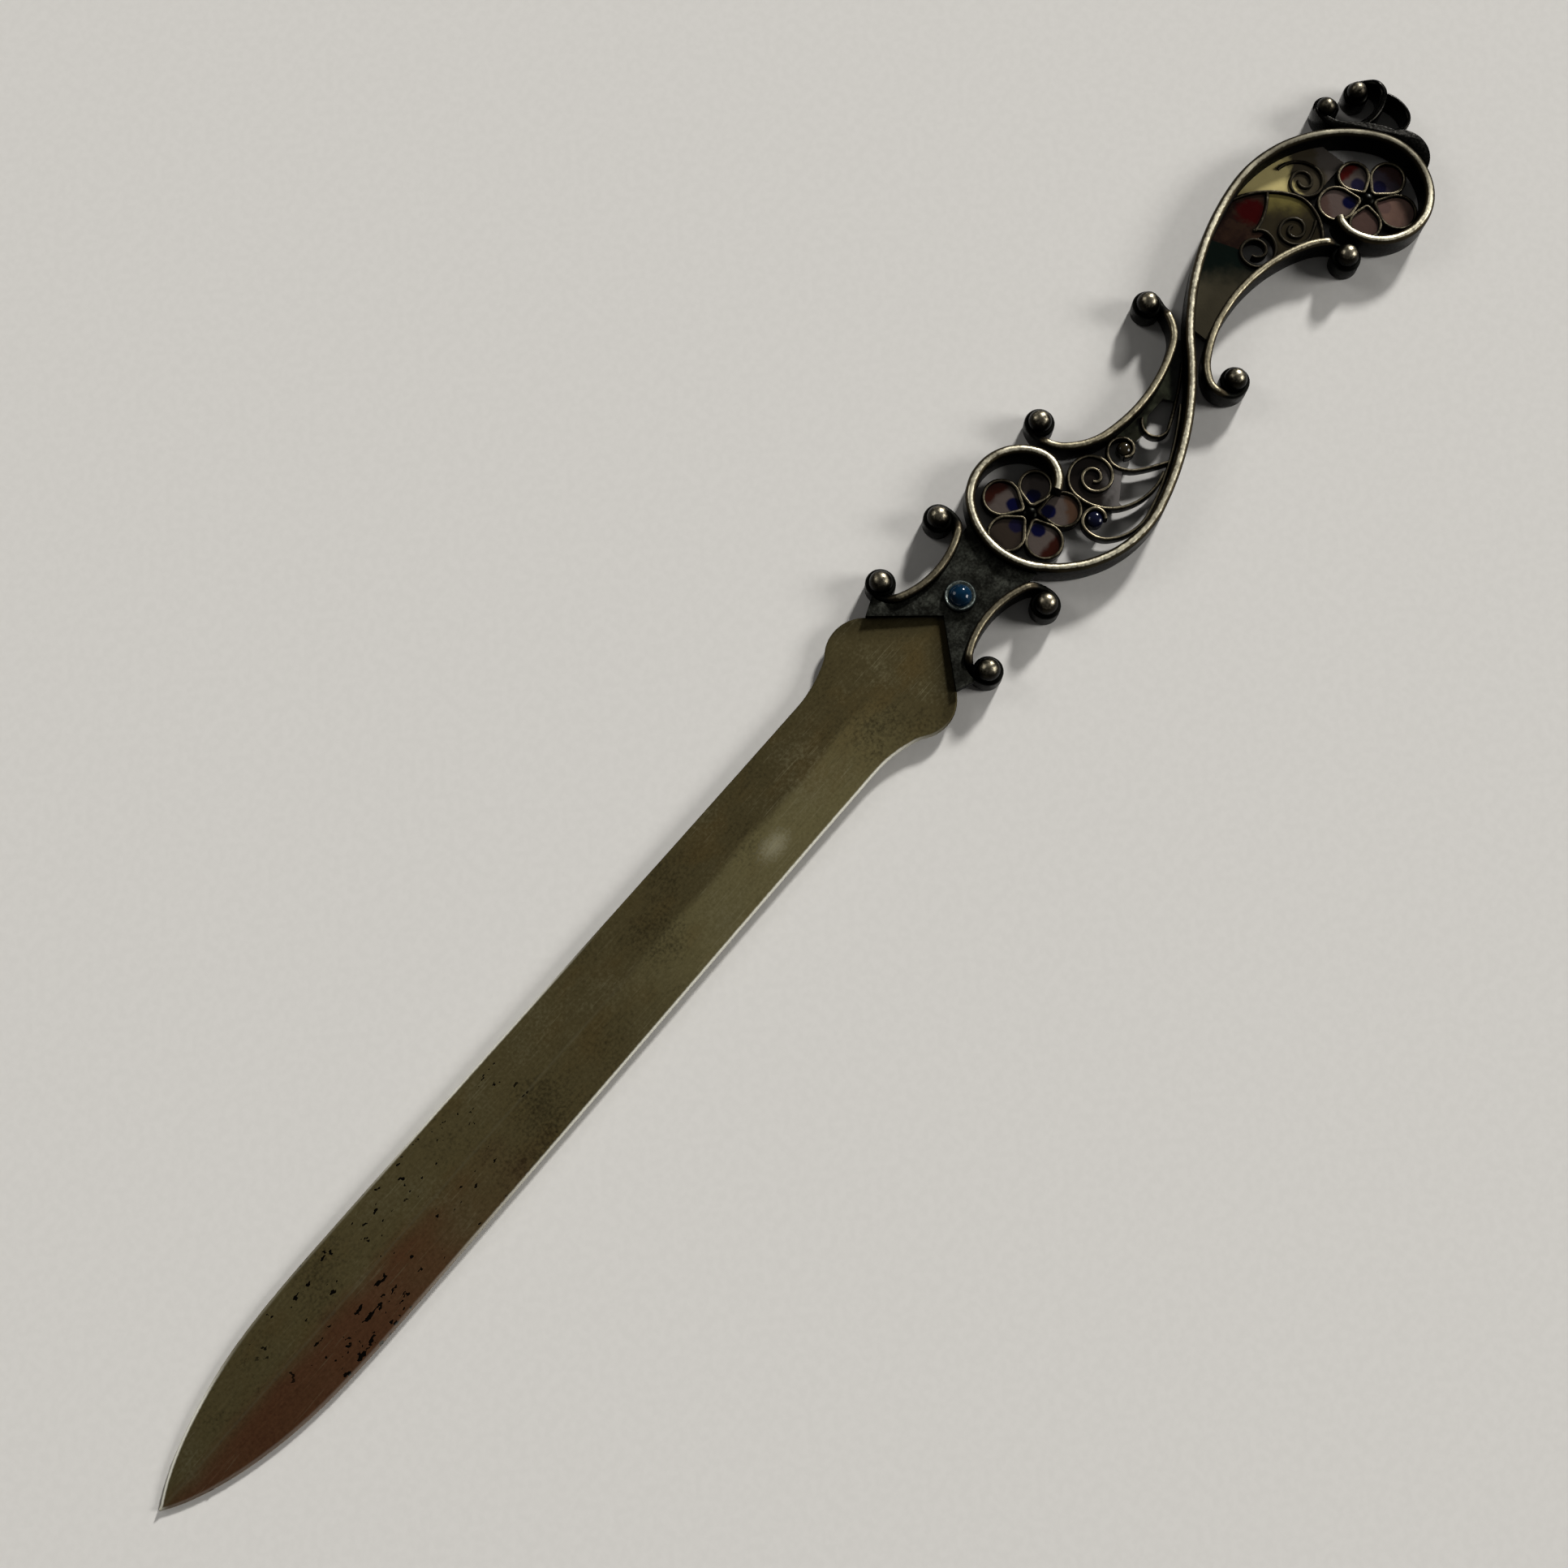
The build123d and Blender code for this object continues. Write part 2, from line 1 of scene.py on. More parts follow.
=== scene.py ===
# %% [markdown]
# A letter opener with an enamelled scroll handle. The solids of the CAD model are loaded first. They fix
# every size and place, and this script only gives them their looks.

# %% Load the solids
from math import asin, ceil, copysign, cos, degrees, pi, radians, sin, sqrt, tan

import bmesh
import bpy
import numpy as np
from mathutils import Matrix, Vector
from mathutils.bvhtree import BVHTree
from mathutils.kdtree import KDTree


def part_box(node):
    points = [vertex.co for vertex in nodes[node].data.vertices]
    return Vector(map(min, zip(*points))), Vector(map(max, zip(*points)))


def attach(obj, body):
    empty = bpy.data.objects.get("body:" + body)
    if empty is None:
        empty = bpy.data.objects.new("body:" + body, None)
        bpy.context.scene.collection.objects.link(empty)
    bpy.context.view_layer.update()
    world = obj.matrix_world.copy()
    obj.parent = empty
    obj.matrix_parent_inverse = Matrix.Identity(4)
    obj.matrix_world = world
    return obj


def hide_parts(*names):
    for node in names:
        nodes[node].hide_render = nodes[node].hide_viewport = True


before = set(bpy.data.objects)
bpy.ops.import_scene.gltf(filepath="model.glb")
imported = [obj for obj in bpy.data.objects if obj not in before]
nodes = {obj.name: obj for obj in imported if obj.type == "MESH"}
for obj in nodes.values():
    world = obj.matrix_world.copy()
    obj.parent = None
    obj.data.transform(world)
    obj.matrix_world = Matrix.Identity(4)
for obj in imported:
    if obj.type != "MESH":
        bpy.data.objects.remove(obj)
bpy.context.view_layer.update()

MM = 0.001

# %% [markdown]
# The camera looks almost straight down from above the blade, and it is turned so that the blade runs to the
# lower left of the picture. A photographer would rather turn the opener. Here the opener keeps its straight
# place along X, so the camera takes the turn.

# %% Camera
PLACE = Vector((-107.50, -33.57, 231.90)) * MM
TILT = radians(13.0)
TURN = radians(49.35)
LENS = 51.41


def put(name, data):
    """A new object in the scene."""
    made = bpy.data.objects.new(name, data)
    bpy.context.collection.objects.link(made)
    return made


right = Vector((cos(TURN), -sin(TURN), 0))
up = Vector((cos(TILT) * sin(TURN), cos(TILT) * cos(TURN), sin(TILT)))
camera_data = bpy.data.cameras.new("camera")
camera_data.lens = LENS
camera_data.sensor_width = 36.0
camera_data.clip_start = 0.01
camera_data.dof.use_dof = False
camera = put("camera", camera_data)
camera.matrix_world = Matrix((right, up, right.cross(up))).transposed().to_4x4()
camera.location = PLACE
bpy.context.scene.camera = camera
print("camera at", [round(v, 4) for v in PLACE])

# %% [markdown]
# Node trees read best as maths. This small class holds one socket of a tree, and plus, minus and times on
# it add the Math nodes. Every other node comes from its one method `node`, which takes the kind of node, its
# settings and then its socket values. It serves the materials and the Geometry Nodes trees alike.


# %% Sockets that take part in maths
class Socket:
    """One output of a node, with operators that add Math nodes after it."""

    def __init__(self, tree, output):
        self.tree = tree
        self.output = output

    def node(self, kind, settings=None, sockets=None, output=0):
        """A new node of any kind: its settings first, then the values or links of its sockets."""
        made = self.tree.nodes.new(kind)
        for name, value in (settings or {}).items():
            setattr(made, name, value)
        for name, value in (sockets or {}).items():
            if isinstance(value, Socket):
                self.tree.links.new(value.output, made.inputs[name])
            else:
                made.inputs[name].default_value = value
        return Socket(self.tree, made.outputs[output])

    def maths(self, operation, first, second=0.0):
        return self.node("ShaderNodeMath", {"operation": operation}, {0: first, 1: second})

    def vector(self, operation, first, second):
        return self.node("ShaderNodeVectorMath", {"operation": operation}, {0: first, 1: second})

    def __add__(self, other):
        return self.maths("ADD", self, other)

    def __radd__(self, other):
        return self.maths("ADD", other, self)

    def __sub__(self, other):
        return self.maths("SUBTRACT", self, other)

    def __rsub__(self, other):
        return self.maths("SUBTRACT", other, self)

    def __mul__(self, other):
        return self.maths("MULTIPLY", self, other)

    def __rmul__(self, other):
        return self.maths("MULTIPLY", other, self)

    def root(self):
        return self.maths("SQRT", self)

    def size(self):
        """The value without its sign."""
        return self.maths("ABSOLUTE", self)

    def capped(self):
        """The value, or 1 where it is more."""
        return self.maths("MINIMUM", self, 1.0)

    def ramp(self, low, high):
        """Rises smoothly from 0 at low to 1 at high, also where low is the larger."""
        settings = {"interpolation_type": "SMOOTHSTEP"}
        return self.node("ShaderNodeMapRange", settings, {0: self, 1: low, 2: high, 3: 0.0, 4: 1.0})

    def span(self, low, high, soft):
        """1 from low to high, fading to 0 over a soft distance on either side."""
        return self.ramp(low - soft, low) * self.ramp(high + soft, high)

    def between(self, first, second):
        """A colour mixed from two by this value."""
        settings = {"data_type": "RGBA"}
        return self.node("ShaderNodeMix", settings, {0: self, 6: first, 7: second}, output=2)


def colour(red, green, blue):
    """A colour as it is read off a picture, 0 to 255, as the linear values that a shader takes."""
    parts = [value / 255 for value in (red, green, blue)]
    return (*[v / 12.92 if v <= 0.04045 else ((v + 0.055) / 1.055) ** 2.4 for v in parts], 1.0)


print("a middle grey is", [round(v, 3) for v in colour(128, 128, 128)])

# %% [markdown]
# Every finish in this scene is a Principled shader whose colour and roughness change over the surface. The
# pattern is measured in millimetres from the object's own origin, so it stays in place on each piece
# whatever the view. Noise gives the cloudy changes that tarnish and old glass show.


# %% A finish that varies over a surface
class Finish:
    """A new material, with the tools to vary it over the surface in millimetres."""

    def __init__(self, name, **constants):
        self.material = bpy.data.materials.new(name)
        self.material.use_nodes = True
        self.tree = self.material.node_tree
        self.shader = self.tree.nodes["Principled BSDF"]
        for socket, value in constants.items():
            self.shader.inputs[socket.replace("_", " ")].default_value = value
        coordinates = self.tree.nodes.new("ShaderNodeTexCoord")
        metres = Socket(self.tree, coordinates.outputs["Object"])
        scaled = {0: metres, "Scale": 1 / MM}
        self.place = metres.node("ShaderNodeVectorMath", {"operation": "SCALE"}, scaled)

    def axis(self, index):
        """One coordinate of the surface, in millimetres."""
        return self.place.node("ShaderNodeSeparateXYZ", None, {0: self.place}, output=index)

    def along(self, across, lengthwise):
        """The distance in millimetres along a level direction."""
        return self.axis(0) * across + self.axis(1) * lengthwise

    def noise(self, size, detail=3.0, stretch=(1, 1, 1), offset=0.0):
        """Cloudy values from about 0.2 to 0.8, with patches of about that size in millimetres."""
        shift = (offset, offset, offset)
        mapped = self.place.node(
            "ShaderNodeMapping", None, {0: self.place, "Location": shift, "Scale": stretch}
        )
        sockets = {"Vector": mapped, "Scale": 1 / size, "Detail": detail}
        return mapped.node("ShaderNodeTexNoise", None, sockets)

    def attribute(self, name):
        """A value that the piece's own mesh carries."""
        return self.place.node("ShaderNodeAttribute", {"attribute_name": name}, output="Fac")

    def set(self, **values):
        """Feeds sockets of the shader."""
        for socket, value in values.items():
            self.tree.links.new(value.output, self.shader.inputs[socket.replace("_", " ")])

    def bump(self, height, distance):
        """Small unevenness, with its height in millimetres."""
        self.set(Normal=height.node("ShaderNodeBump", None, {"Height": height, "Distance": distance * MM}))


print("a finish offers:", [tool for tool in vars(Finish) if not tool.startswith("_")])

# %% [markdown]
# The floor is one pale matt sheet. The main lamp stands low beyond the finial, so that each ball throws a
# shadow towards the blade. Two weaker lamps on either side open the shadows, as the lights of a room do. All
# three are far off, which lights the floor evenly, and the sky is dark, because bare metal shows what is
# round it. The sizes of this cell are in metres.

# %% Floor and light
FLOOR_HALF = 1.5
LAMP_AIM = Vector((-0.06, 0.0, 0.0))
LAMP_DISTANCE = 12.0
LAMPS = {
    "main_lamp": {"towards": Vector((0.86, 0.207, 0.47)), "side": 1.32, "power": 1715.0},
    "left_lamp": {"towards": Vector((-0.2, 0.78, 0.59)), "side": 4.56, "power": 213.0},
    "right_lamp": {"towards": Vector((0.56, -0.66, 0.5)), "side": 4.56, "power": 864.0},
}
SKY = 0.06

floor_mesh = bpy.data.meshes.new("floor")
ends = (-FLOOR_HALF, FLOOR_HALF)
floor_mesh.from_pydata([(x, y, 0.0) for y in ends for x in ends], [], [(0, 1, 3, 2)])
floor = put("floor", floor_mesh)
paper = Finish("pale_paper", Roughness=0.95, Specular_IOR_Level=0.0)
paper.set(Base_Color=paper.noise(0.9).ramp(0.3, 0.7).between(colour(203, 200, 194), colour(206, 203, 197)))
floor_mesh.materials.append(paper.material)


def soft_lamp(name, towards, side, power):
    """A square lamp that faces the opener."""
    data = bpy.data.lights.new(name, "AREA")
    data.shape = "SQUARE"
    data.size = side
    data.energy = power
    lamp = put(name, data)
    lamp.location = LAMP_AIM + towards * LAMP_DISTANCE
    lamp.rotation_euler = towards.to_track_quat("Z", "Y").to_euler()
    print(name, "at", [round(v, 3) for v in lamp.location])


for name, lamp in LAMPS.items():
    soft_lamp(name, **lamp)
world = bpy.data.worlds.new("sky")
bpy.context.scene.world = world
world.use_nodes = True
world.node_tree.nodes["Background"].inputs["Color"].default_value = (SKY, SKY, SKY, 1.0)
bpy.context.scene.view_settings.view_transform = "Standard"

# %% [markdown]
# The strips, balls and wires are old silver. Their walls are painted nearly black, for patina and for the
# shade between the strips, the flanks are brown, and the crest is painted pale, for wear from hands and for
# the lamp's highlight along it. The height above the table tells the three apart, so one function makes the
# finish of every silver piece from the height of its crest. The frame is darker and rougher on the outer side
# of its far end.


# %% Tarnished silver
# The black of the walls is patina, deepened as painted shade where the strips stand close.
BLACK_PATINA_AND_SHADE = colour(9, 9, 7)


def tarnished_silver_with_painted_light(name, top, crest, flank, worn=0.16, browned=0.55, polish=0.28, dull_end=0.0):
    """Silver painted black low down for patina and shade, brown on its flanks, and pale along its top for
    wear and a painted highlight.
    """
    finish = Finish(name, Metallic=1.0)
    height = finish.axis(2)
    patches = finish.noise(1.7) - 0.5
    grain = finish.noise(0.28, detail=4.0) - 0.5
    crest_variation = finish.noise(6.0).ramp(0.36, 0.6) * 0.45 + 0.55
    # The crest is painted pale, for wear and for the lamp's highlight along it.
    crest_line = (height + (patches + grain) * worn * 1.2).ramp(top - worn, top - worn * 0.1)
    wear_and_highlight = crest_line * crest_variation * (patches * 1.1 + grain * 0.6 + 0.92)
    brown = (height + patches * browned * 0.7).ramp(top - browned, top - browned * 0.2)
    far = finish.axis(0) + patches * 3
    outer = (finish.axis(1) + patches * 3).ramp(-2.0, 1.5) + far.ramp(29.5, 32.0)
    dull = (far.ramp(13, 21) * outer).capped() * dull_end
    below = (brown * (1 - dull * 0.75)).between(BLACK_PATINA_AND_SHADE, flank)
    finish.set(
        Base_Color=(wear_and_highlight * (1 - dull)).between(below, crest),
        Roughness=polish + 0.2 + grain * 0.3 - wear_and_highlight * 0.1 + dull * 0.35,
    )
    finish.bump(grain, 0.018)
    return finish.material


print("a blackened wall is", [round(v, 4) for v in BLACK_PATINA_AND_SHADE[:3]])

# %% [markdown]
# Each kind of piece has its own recipe: the height of its crest in millimetres, the colours of crest and
# flank, and how far down the pale crest of wear and painted highlight and the brown flank reach.

# %% Silver finishes
silver_recipes = {
    "frame_silver": (3.8, colour(240, 231, 202), colour(56, 49, 35), {"worn": 0.075, "dull_end": 0.68}),
    "scroll_silver": (3.5, colour(176, 166, 138), colour(58, 51, 38), {"worn": 0.11}),
    "shield_silver": (3.5, colour(138, 129, 106), colour(50, 44, 33), {"worn": 0.11}),
    "ball_silver": (
        4.15, colour(160, 151, 129), colour(44, 40, 32), {"worn": 0.42, "browned": 1.0, "polish": 0.2}
    ),
    "finial_silver": (3.3, colour(24, 23, 20), colour(14, 13, 11), {"polish": 0.08}),
    "filigree_wire": (1.9, colour(122, 113, 92), colour(36, 32, 24), {"worn": 0.1, "browned": 0.35}),
    "dark_plate": (2.9, colour(68, 69, 62), colour(26, 26, 22), {"worn": 0.3, "polish": 0.42}),
    "bezel_silver": (3.45, colour(178, 186, 178), colour(60, 67, 64), {"worn": 0.12, "browned": 0.5}),
}
silver = {}
for name, (top, crest, flank, wear) in silver_recipes.items():
    silver[name] = tarnished_silver_with_painted_light(name, top, crest, flank, **wear)
print("silver finishes:", len(silver))

# %% [markdown]
# The blade is a brownish white metal. Long use has left fine scratches along it and small black pits, and the
# right half is reddish towards the tip. Painted highlights lie on the right half, as a sheen and a spot,
# along the middle line and along the edges, and painted shade lies beside the plate. Each of these is a layer
# of colour over the one before, laid on where a mask says so, in millimetres along and across the blade. Its
# mesh carries the distance from the edge, because no coordinate tells where a curved edge is.


# %% Blade finish
# Where the painted sheen and the painted highlight spot lie, in millimetres.
PAINTED_SHEEN_STRETCH = (-84, -66)
PAINTED_HIGHLIGHT_SPOT = (-72.9, -2.5)
PITTED_STRETCH = (-144, -110)
PIT_CLUSTER = (-139, -133)


class BladeFinish(Finish):
    """The metal of the blade, with the coordinates and the noises that its layers share."""

    def __init__(self):
        super().__init__("blade_metal")
        self.x = self.axis(0)
        self.y = self.axis(1)
        self.off_middle = self.y.size()
        self.scratches = self.noise(0.2, detail=3.0, stretch=(0.06, 1, 1)) - 0.5
        self.crossing = self.noise(0.2, detail=2.0, stretch=(0.3, 1, 1), offset=31.0) - 0.5
        self.cloud = self.noise(7.0) - 0.5
        self.speckle = self.noise(0.34, detail=5.0) - 0.5

    def metal(self):
        """The bare metal with a painted sheen on the right half, and with warm, light and dark patches."""
        right_half = (self.y + self.cloud * 1.6).ramp(0.6, -0.6)
        painted_sheen = right_half * (self.x + self.cloud * 10).span(*PAINTED_SHEEN_STRETCH, 16)
        warm = self.noise(4.0, detail=4.0, stretch=(0.6, 1, 1), offset=19.0).ramp(0.48, 0.72)
        shade = self.cloud * 1.6 + self.scratches * 0.12 + self.crossing * 0.2 + self.speckle * 1.15
        layer = self.x.ramp(-60, -135).between(colour(76, 68, 44), colour(97, 87, 57))
        layer = painted_sheen.between(layer, colour(107, 99, 67))
        layer = (warm * 0.3).between(layer, colour(92, 73, 38))
        layer = shade.ramp(0.0, 1.0).between(layer, colour(112, 106, 80))
        return shade.ramp(0.0, -0.9).between(layer, colour(46, 40, 25))

    def reddened_with_ridge_highlight(self, layer):
        """Reddish towards the tip on the right half, and a painted highlight along the middle line."""
        reddish = (self.x + self.cloud * 16).ramp(-112, -134)
        reddish = reddish * (self.y + self.cloud * 2).ramp(1.2, -1.6)
        ridge_highlight = (self.off_middle + self.speckle * 0.3).ramp(0.25, 0.0) * self.x.ramp(-84, -104)
        layer = (reddish * 0.8).between(layer, colour(97, 60, 41))
        return (ridge_highlight * 0.3).between(layer, colour(109, 103, 80))

    def scratched_and_highlighted(self, layer):
        """Light scratches along the blade, and a painted highlight spot."""
        hairs = self.noise(0.16, detail=1.0, stretch=(0.035, 1, 1), offset=77.0).ramp(0.64, 0.74)
        ahead = self.x - PAINTED_HIGHLIGHT_SPOT[0]
        beside = self.y - PAINTED_HIGHLIGHT_SPOT[1]
        from_spot = (ahead * ahead * 0.35 + beside * beside).root() + self.speckle * 2.5
        layer = (hairs * self.cloud.ramp(-0.1, 0.15) * 0.3).between(layer, colour(136, 129, 101))
        return (from_spot.ramp(1.7, 0.1) * 0.7).between(layer, colour(158, 152, 124))

    def pits(self):
        """Where the black pits are: many in one cluster, and a few on the other half."""
        spots = self.noise(0.9, detail=2.5, stretch=(0.8, 1.2, 1), offset=5.0)
        cluster = self.x.span(*PIT_CLUSTER, 5) * self.y.ramp(-0.4, -1.8)
        scattered = self.x.ramp(-104, -110) * self.y.ramp(1.0, 2.4) * 0.35
        deep = (spots + cluster * 0.12 + scattered * 0.12).ramp(0.69, 0.71)
        return deep * self.x.span(*PITTED_STRETCH, 6)

    def edge_highlights(self):
        """Where highlights are painted along the edges: the right one most, the left one in two stretches."""
        right = self.y.ramp(0.5, -0.5) * (self.x.ramp(-134, -106) * 0.8 + 0.2)
        right = right * self.x.ramp(-50, -58)
        left = self.x.ramp(-90, -104) * (self.x.ramp(-130, -116) * 0.85 + 0.15)
        left = self.y.ramp(-0.5, 0.5) * (self.x.ramp(-146, -155) + left)
        from_edge = self.attribute("edge") - self.x.ramp(-110, -150) * 0.12
        band = (from_edge + self.speckle * 0.14).ramp(0.32, 0.08)
        return band * (right + left).capped() * 0.9

    def laid_on(self):
        """The material with all its layers."""
        pits = self.pits()
        # Painted highlights along the edges, in a near white.
        edge_highlight = self.edge_highlights()
        # Painted shade on the blade along the plate's edge, where the plate's step shades it; it darkens with
        # the pits.
        painted_shade_by_plate = (self.x + self.off_middle * 0.87 + self.cloud * 2).ramp(-46.4, -42.6)
        layer = self.scratched_and_highlighted(self.reddened_with_ridge_highlight(self.metal()))
        layer = (pits + painted_shade_by_plate * 0.45).between(layer, colour(14, 11, 8))
        self.set(
            Base_Color=edge_highlight.between(layer, colour(224, 221, 206)),
            Metallic=1 - edge_highlight * 0.8,
            Roughness=0.55 + self.scratches * 0.12 + self.speckle * 0.2 + pits * 0.3,
        )
        self.bump(self.scratches * 0.25 + self.crossing * 0.4 + self.cloud - pits * 0.4, 0.02)
        return self.material


blade_metal = BladeFinish().laid_on()
print("blade finish:", len(blade_metal.node_tree.nodes), "nodes")

# %% [markdown]
# Enamel is coloured glass melted into the cells between the wires. It has a hard gloss over a cloudy colour,
# so each pane is smooth and its colour drifts between two, along a direction where the real pane is darker
# at one end. A patch of another colour can be laid in, as the red drop in the brown pane.


# %% Enamel and stone finishes
def enamel(name, first, second, towards=None, start=0.0, end=1.0, patches=()):
    """Glassy enamel that passes from one colour to a second, along a direction or else in clouds."""
    finish = Finish(name, Roughness=0.12, Specular_IOR_Level=0.3)
    cloud = finish.noise(1.1, detail=4.0) - 0.5
    if towards:
        passage = (finish.along(*towards) + cloud * 2.2).ramp(start, end)
    else:
        passage = cloud.ramp(-0.13, 0.13)
    body = passage.between(first, second)
    for middle, radius, patch in patches:
        ahead = finish.axis(0) - middle[0]
        beside = finish.axis(1) - middle[1]
        distance = (ahead * ahead + beside * beside).root() + cloud * 2.2
        body = distance.ramp(radius + 0.5, radius - 0.5).between(body, patch)
    finish.set(Base_Color=body)
    finish.bump(finish.noise(1.2), 0.05)
    return finish.material


RIGHTWARDS = (cos(TURN), -sin(TURN))
UPWARDS = (sin(TURN), cos(TURN))
GREY_PATCH = (31.0, -1.0)
RED_DROP = (17.1, 4.2)
glass_recipes = {
    "teal_stone": (colour(2, 24, 40), colour(4, 32, 52)),
    "grey_enamel": (colour(92, 88, 85), colour(24, 20, 17), RIGHTWARDS, -8.0, -10.2),
    "green_enamel": (colour(48, 50, 38), colour(28, 28, 20)),
    "yellow_enamel": (colour(92, 80, 48), colour(178, 164, 110), UPWARDS, 16.0, 19.0),
    "red_enamel": (colour(24, 13, 9), colour(36, 23, 15)),
    "light_enamel": (colour(36, 31, 20), colour(100, 91, 48), UPWARDS, 14.6, 18.6),
    "blue_enamel": (colour(6, 8, 26), colour(14, 16, 34)),
    "olive_enamel": (colour(60, 55, 42), colour(5, 12, 8), UPWARDS, 5.5, 9.5),
}
glass_patches = {
    "yellow_enamel": [(GREY_PATCH, 8.8, colour(54, 48, 36)), (GREY_PATCH, 5.5, colour(64, 59, 54))],
    "red_enamel": [(RED_DROP, 1.7, colour(42, 1, 1))],
}
glass = {}
for name, recipe in glass_recipes.items():
    glass[name] = enamel(name, *recipe, patches=glass_patches.get(name, ()))
print("enamel finishes:", len(glass))

# %% [markdown]
# Both flowers have petals of milky glass with a navy spot near the middle and a red-brown rim on some of
# them. Each petal gets its own glaze. Its pattern is measured along and across the petal's own axis, so the
# spot and the rim sit where the enameller laid them, whichever way the petal points. Places in the handle
# are counted from the middle of the S, and the origin lies where the S crosses the blade's middle line.

# %% Petal glazes
S_MIDDLE = (0.0, -1.3)
S_HEADING = 42.7
ORIGIN_X = -S_MIDDLE[1] / tan(radians(S_HEADING))
SPOT_AT = 2.05
SPOT_RADIUS = 0.85
FLOWERS = {"lower": ((-25.45, 0.45), 28.8), "upper": ((28.1, -4.75), -3.7)}
PETALS = 5
NAVY = colour(4, 5, 34)


def petal_glaze(name, flower, turn, milk, rim, rim_from, lean=0.0, spot=1.0):
    """Milky glass with a navy spot near the flower's middle and a rim of a second colour."""
    finish = Finish(name, Roughness=0.12, Specular_IOR_Level=0.3)
    axis = (cos(radians(turn)), sin(radians(turn)))
    middle = (flower[0] - ORIGIN_X) * axis[0] + flower[1] * axis[1]
    level = flower[1] * axis[0] - (flower[0] - ORIGIN_X) * axis[1]
    outwards = finish.along(*axis) - middle
    across = finish.along(-axis[1], axis[0]) - level
    cloud = finish.noise(0.8, detail=4.0) - 0.5
    rimmed = (outwards + across * lean + cloud * 0.9).ramp(rim_from - 0.35, rim_from + 0.45)
    off = outwards - SPOT_AT
    from_spot = (off * off + across * across).root() + cloud * 0.35
    spotted = from_spot.ramp(SPOT_RADIUS + 0.12, SPOT_RADIUS - 0.2) * spot
    finish.set(Base_Color=spotted.between(rimmed.between(milk, rim), NAVY))
    finish.bump(finish.noise(0.9), 0.05)
    return finish.material


LILAC = colour(70, 62, 57)
PINK = colour(66, 50, 44)
DULL = colour(40, 33, 27)
RUST = colour(38, 13, 7)
UMBER = colour(27, 21, 16)
glaze_recipes = {
    "lower": [
        (LILAC, UMBER, 4.0, 0.0, 1.0),
        (LILAC, RUST, 3.9, -0.35, 1.0),
        (DULL, UMBER, 4.6, 0.0, 0.8),
        (LILAC, RUST, 4.1, 0.5, 1.0),
        (LILAC, colour(62, 44, 32), 3.9, 0.0, 1.0),
    ],
    "upper": [
        (colour(50, 43, 50), colour(44, 23, 19), 3.7, 0.0, 0.9),
        (LILAC, colour(58, 9, 5), 3.5, 0.25, 0.9),
        (colour(76, 64, 59), PINK, 4.3, 0.0, 1.0),
        (PINK, DULL, 4.6, 0.0, 0.0),
        (colour(96, 74, 64), colour(80, 62, 54), 4.6, 0.0, 0.25),
    ],
}
petal_glazes = {}
for part, (flower, turn) in FLOWERS.items():
    for number, recipe in enumerate(glaze_recipes[part]):
        node = f"{part}_petal_enamel_{number + 1}"
        petal_glazes[node] = petal_glaze(node + "_glaze", flower, turn + number * 360 / PETALS, *recipe)
print("petal glazes:", len(petal_glazes))

# %% [markdown]
# Each solid that stays in view now gets its finish. A pane of enamel is flat in its cell, as the solid is,
# so the panes stay as they are and only the metal round them is modelled again. The solids of the metal get
# a plain silver until the new pieces stand for them.

# %% Finishes of the solids that stay
pane_finishes = {
    "lower_grey_enamel": "grey_enamel",
    "lower_green_enamel": "green_enamel",
    "upper_yellow_enamel": "yellow_enamel",
    "upper_red_enamel": "red_enamel",
    "upper_light_enamel": "light_enamel",
    "upper_dark_enamel": "olive_enamel",
}
for name, node in nodes.items():
    node.data.materials.clear()
    if name in petal_glazes:
        node.data.materials.append(petal_glazes[name])
    elif name in pane_finishes:
        node.data.materials.append(glass[pane_finishes[name]])
    else:
        node.data.materials.append(silver["filigree_wire"])
print("solids that stay in view:", len(petal_glazes) + len(pane_finishes))

# %% [markdown]
# A silversmith bends the scrolls from flat strip set on edge, so each is a path of tangent arcs. Walking
# the arcs one after another gives the points of the path. Most scrolls are set out from a middle point both
# ways, as the bender works.

# %% Paths of bent strip
STEP = 0.25


def walk(start, heading, arcs):
    """Points along tangent arcs, each with the heading there. Left turns are positive."""
    x, y = start
    angle = radians(heading)
    points = [(x, y, angle)]
    for radius, turn in arcs:
        signed = copysign(radius, turn)
        centre = (x - signed * sin(angle), y + signed * cos(angle))
        steps = max(3, ceil(radius * radians(abs(turn)) / STEP))
        for step in range(1, steps + 1):
            now = angle + radians(turn) * step / steps
            points.append((centre[0] + signed * sin(now), centre[1] - signed * cos(now), now))
        x, y, angle = points[-1]
    return points


def both_ways(middle, heading, back, front):
    """A path through both runs of a scroll that is set out from its middle point."""
    behind = walk(middle, heading + 180, back)
    return behind[:0:-1] + walk(middle, heading, front)


def mirrored(points):
    """The same path on the other side of the middle line."""
    return [(x, -y, -angle) for x, y, angle in points]


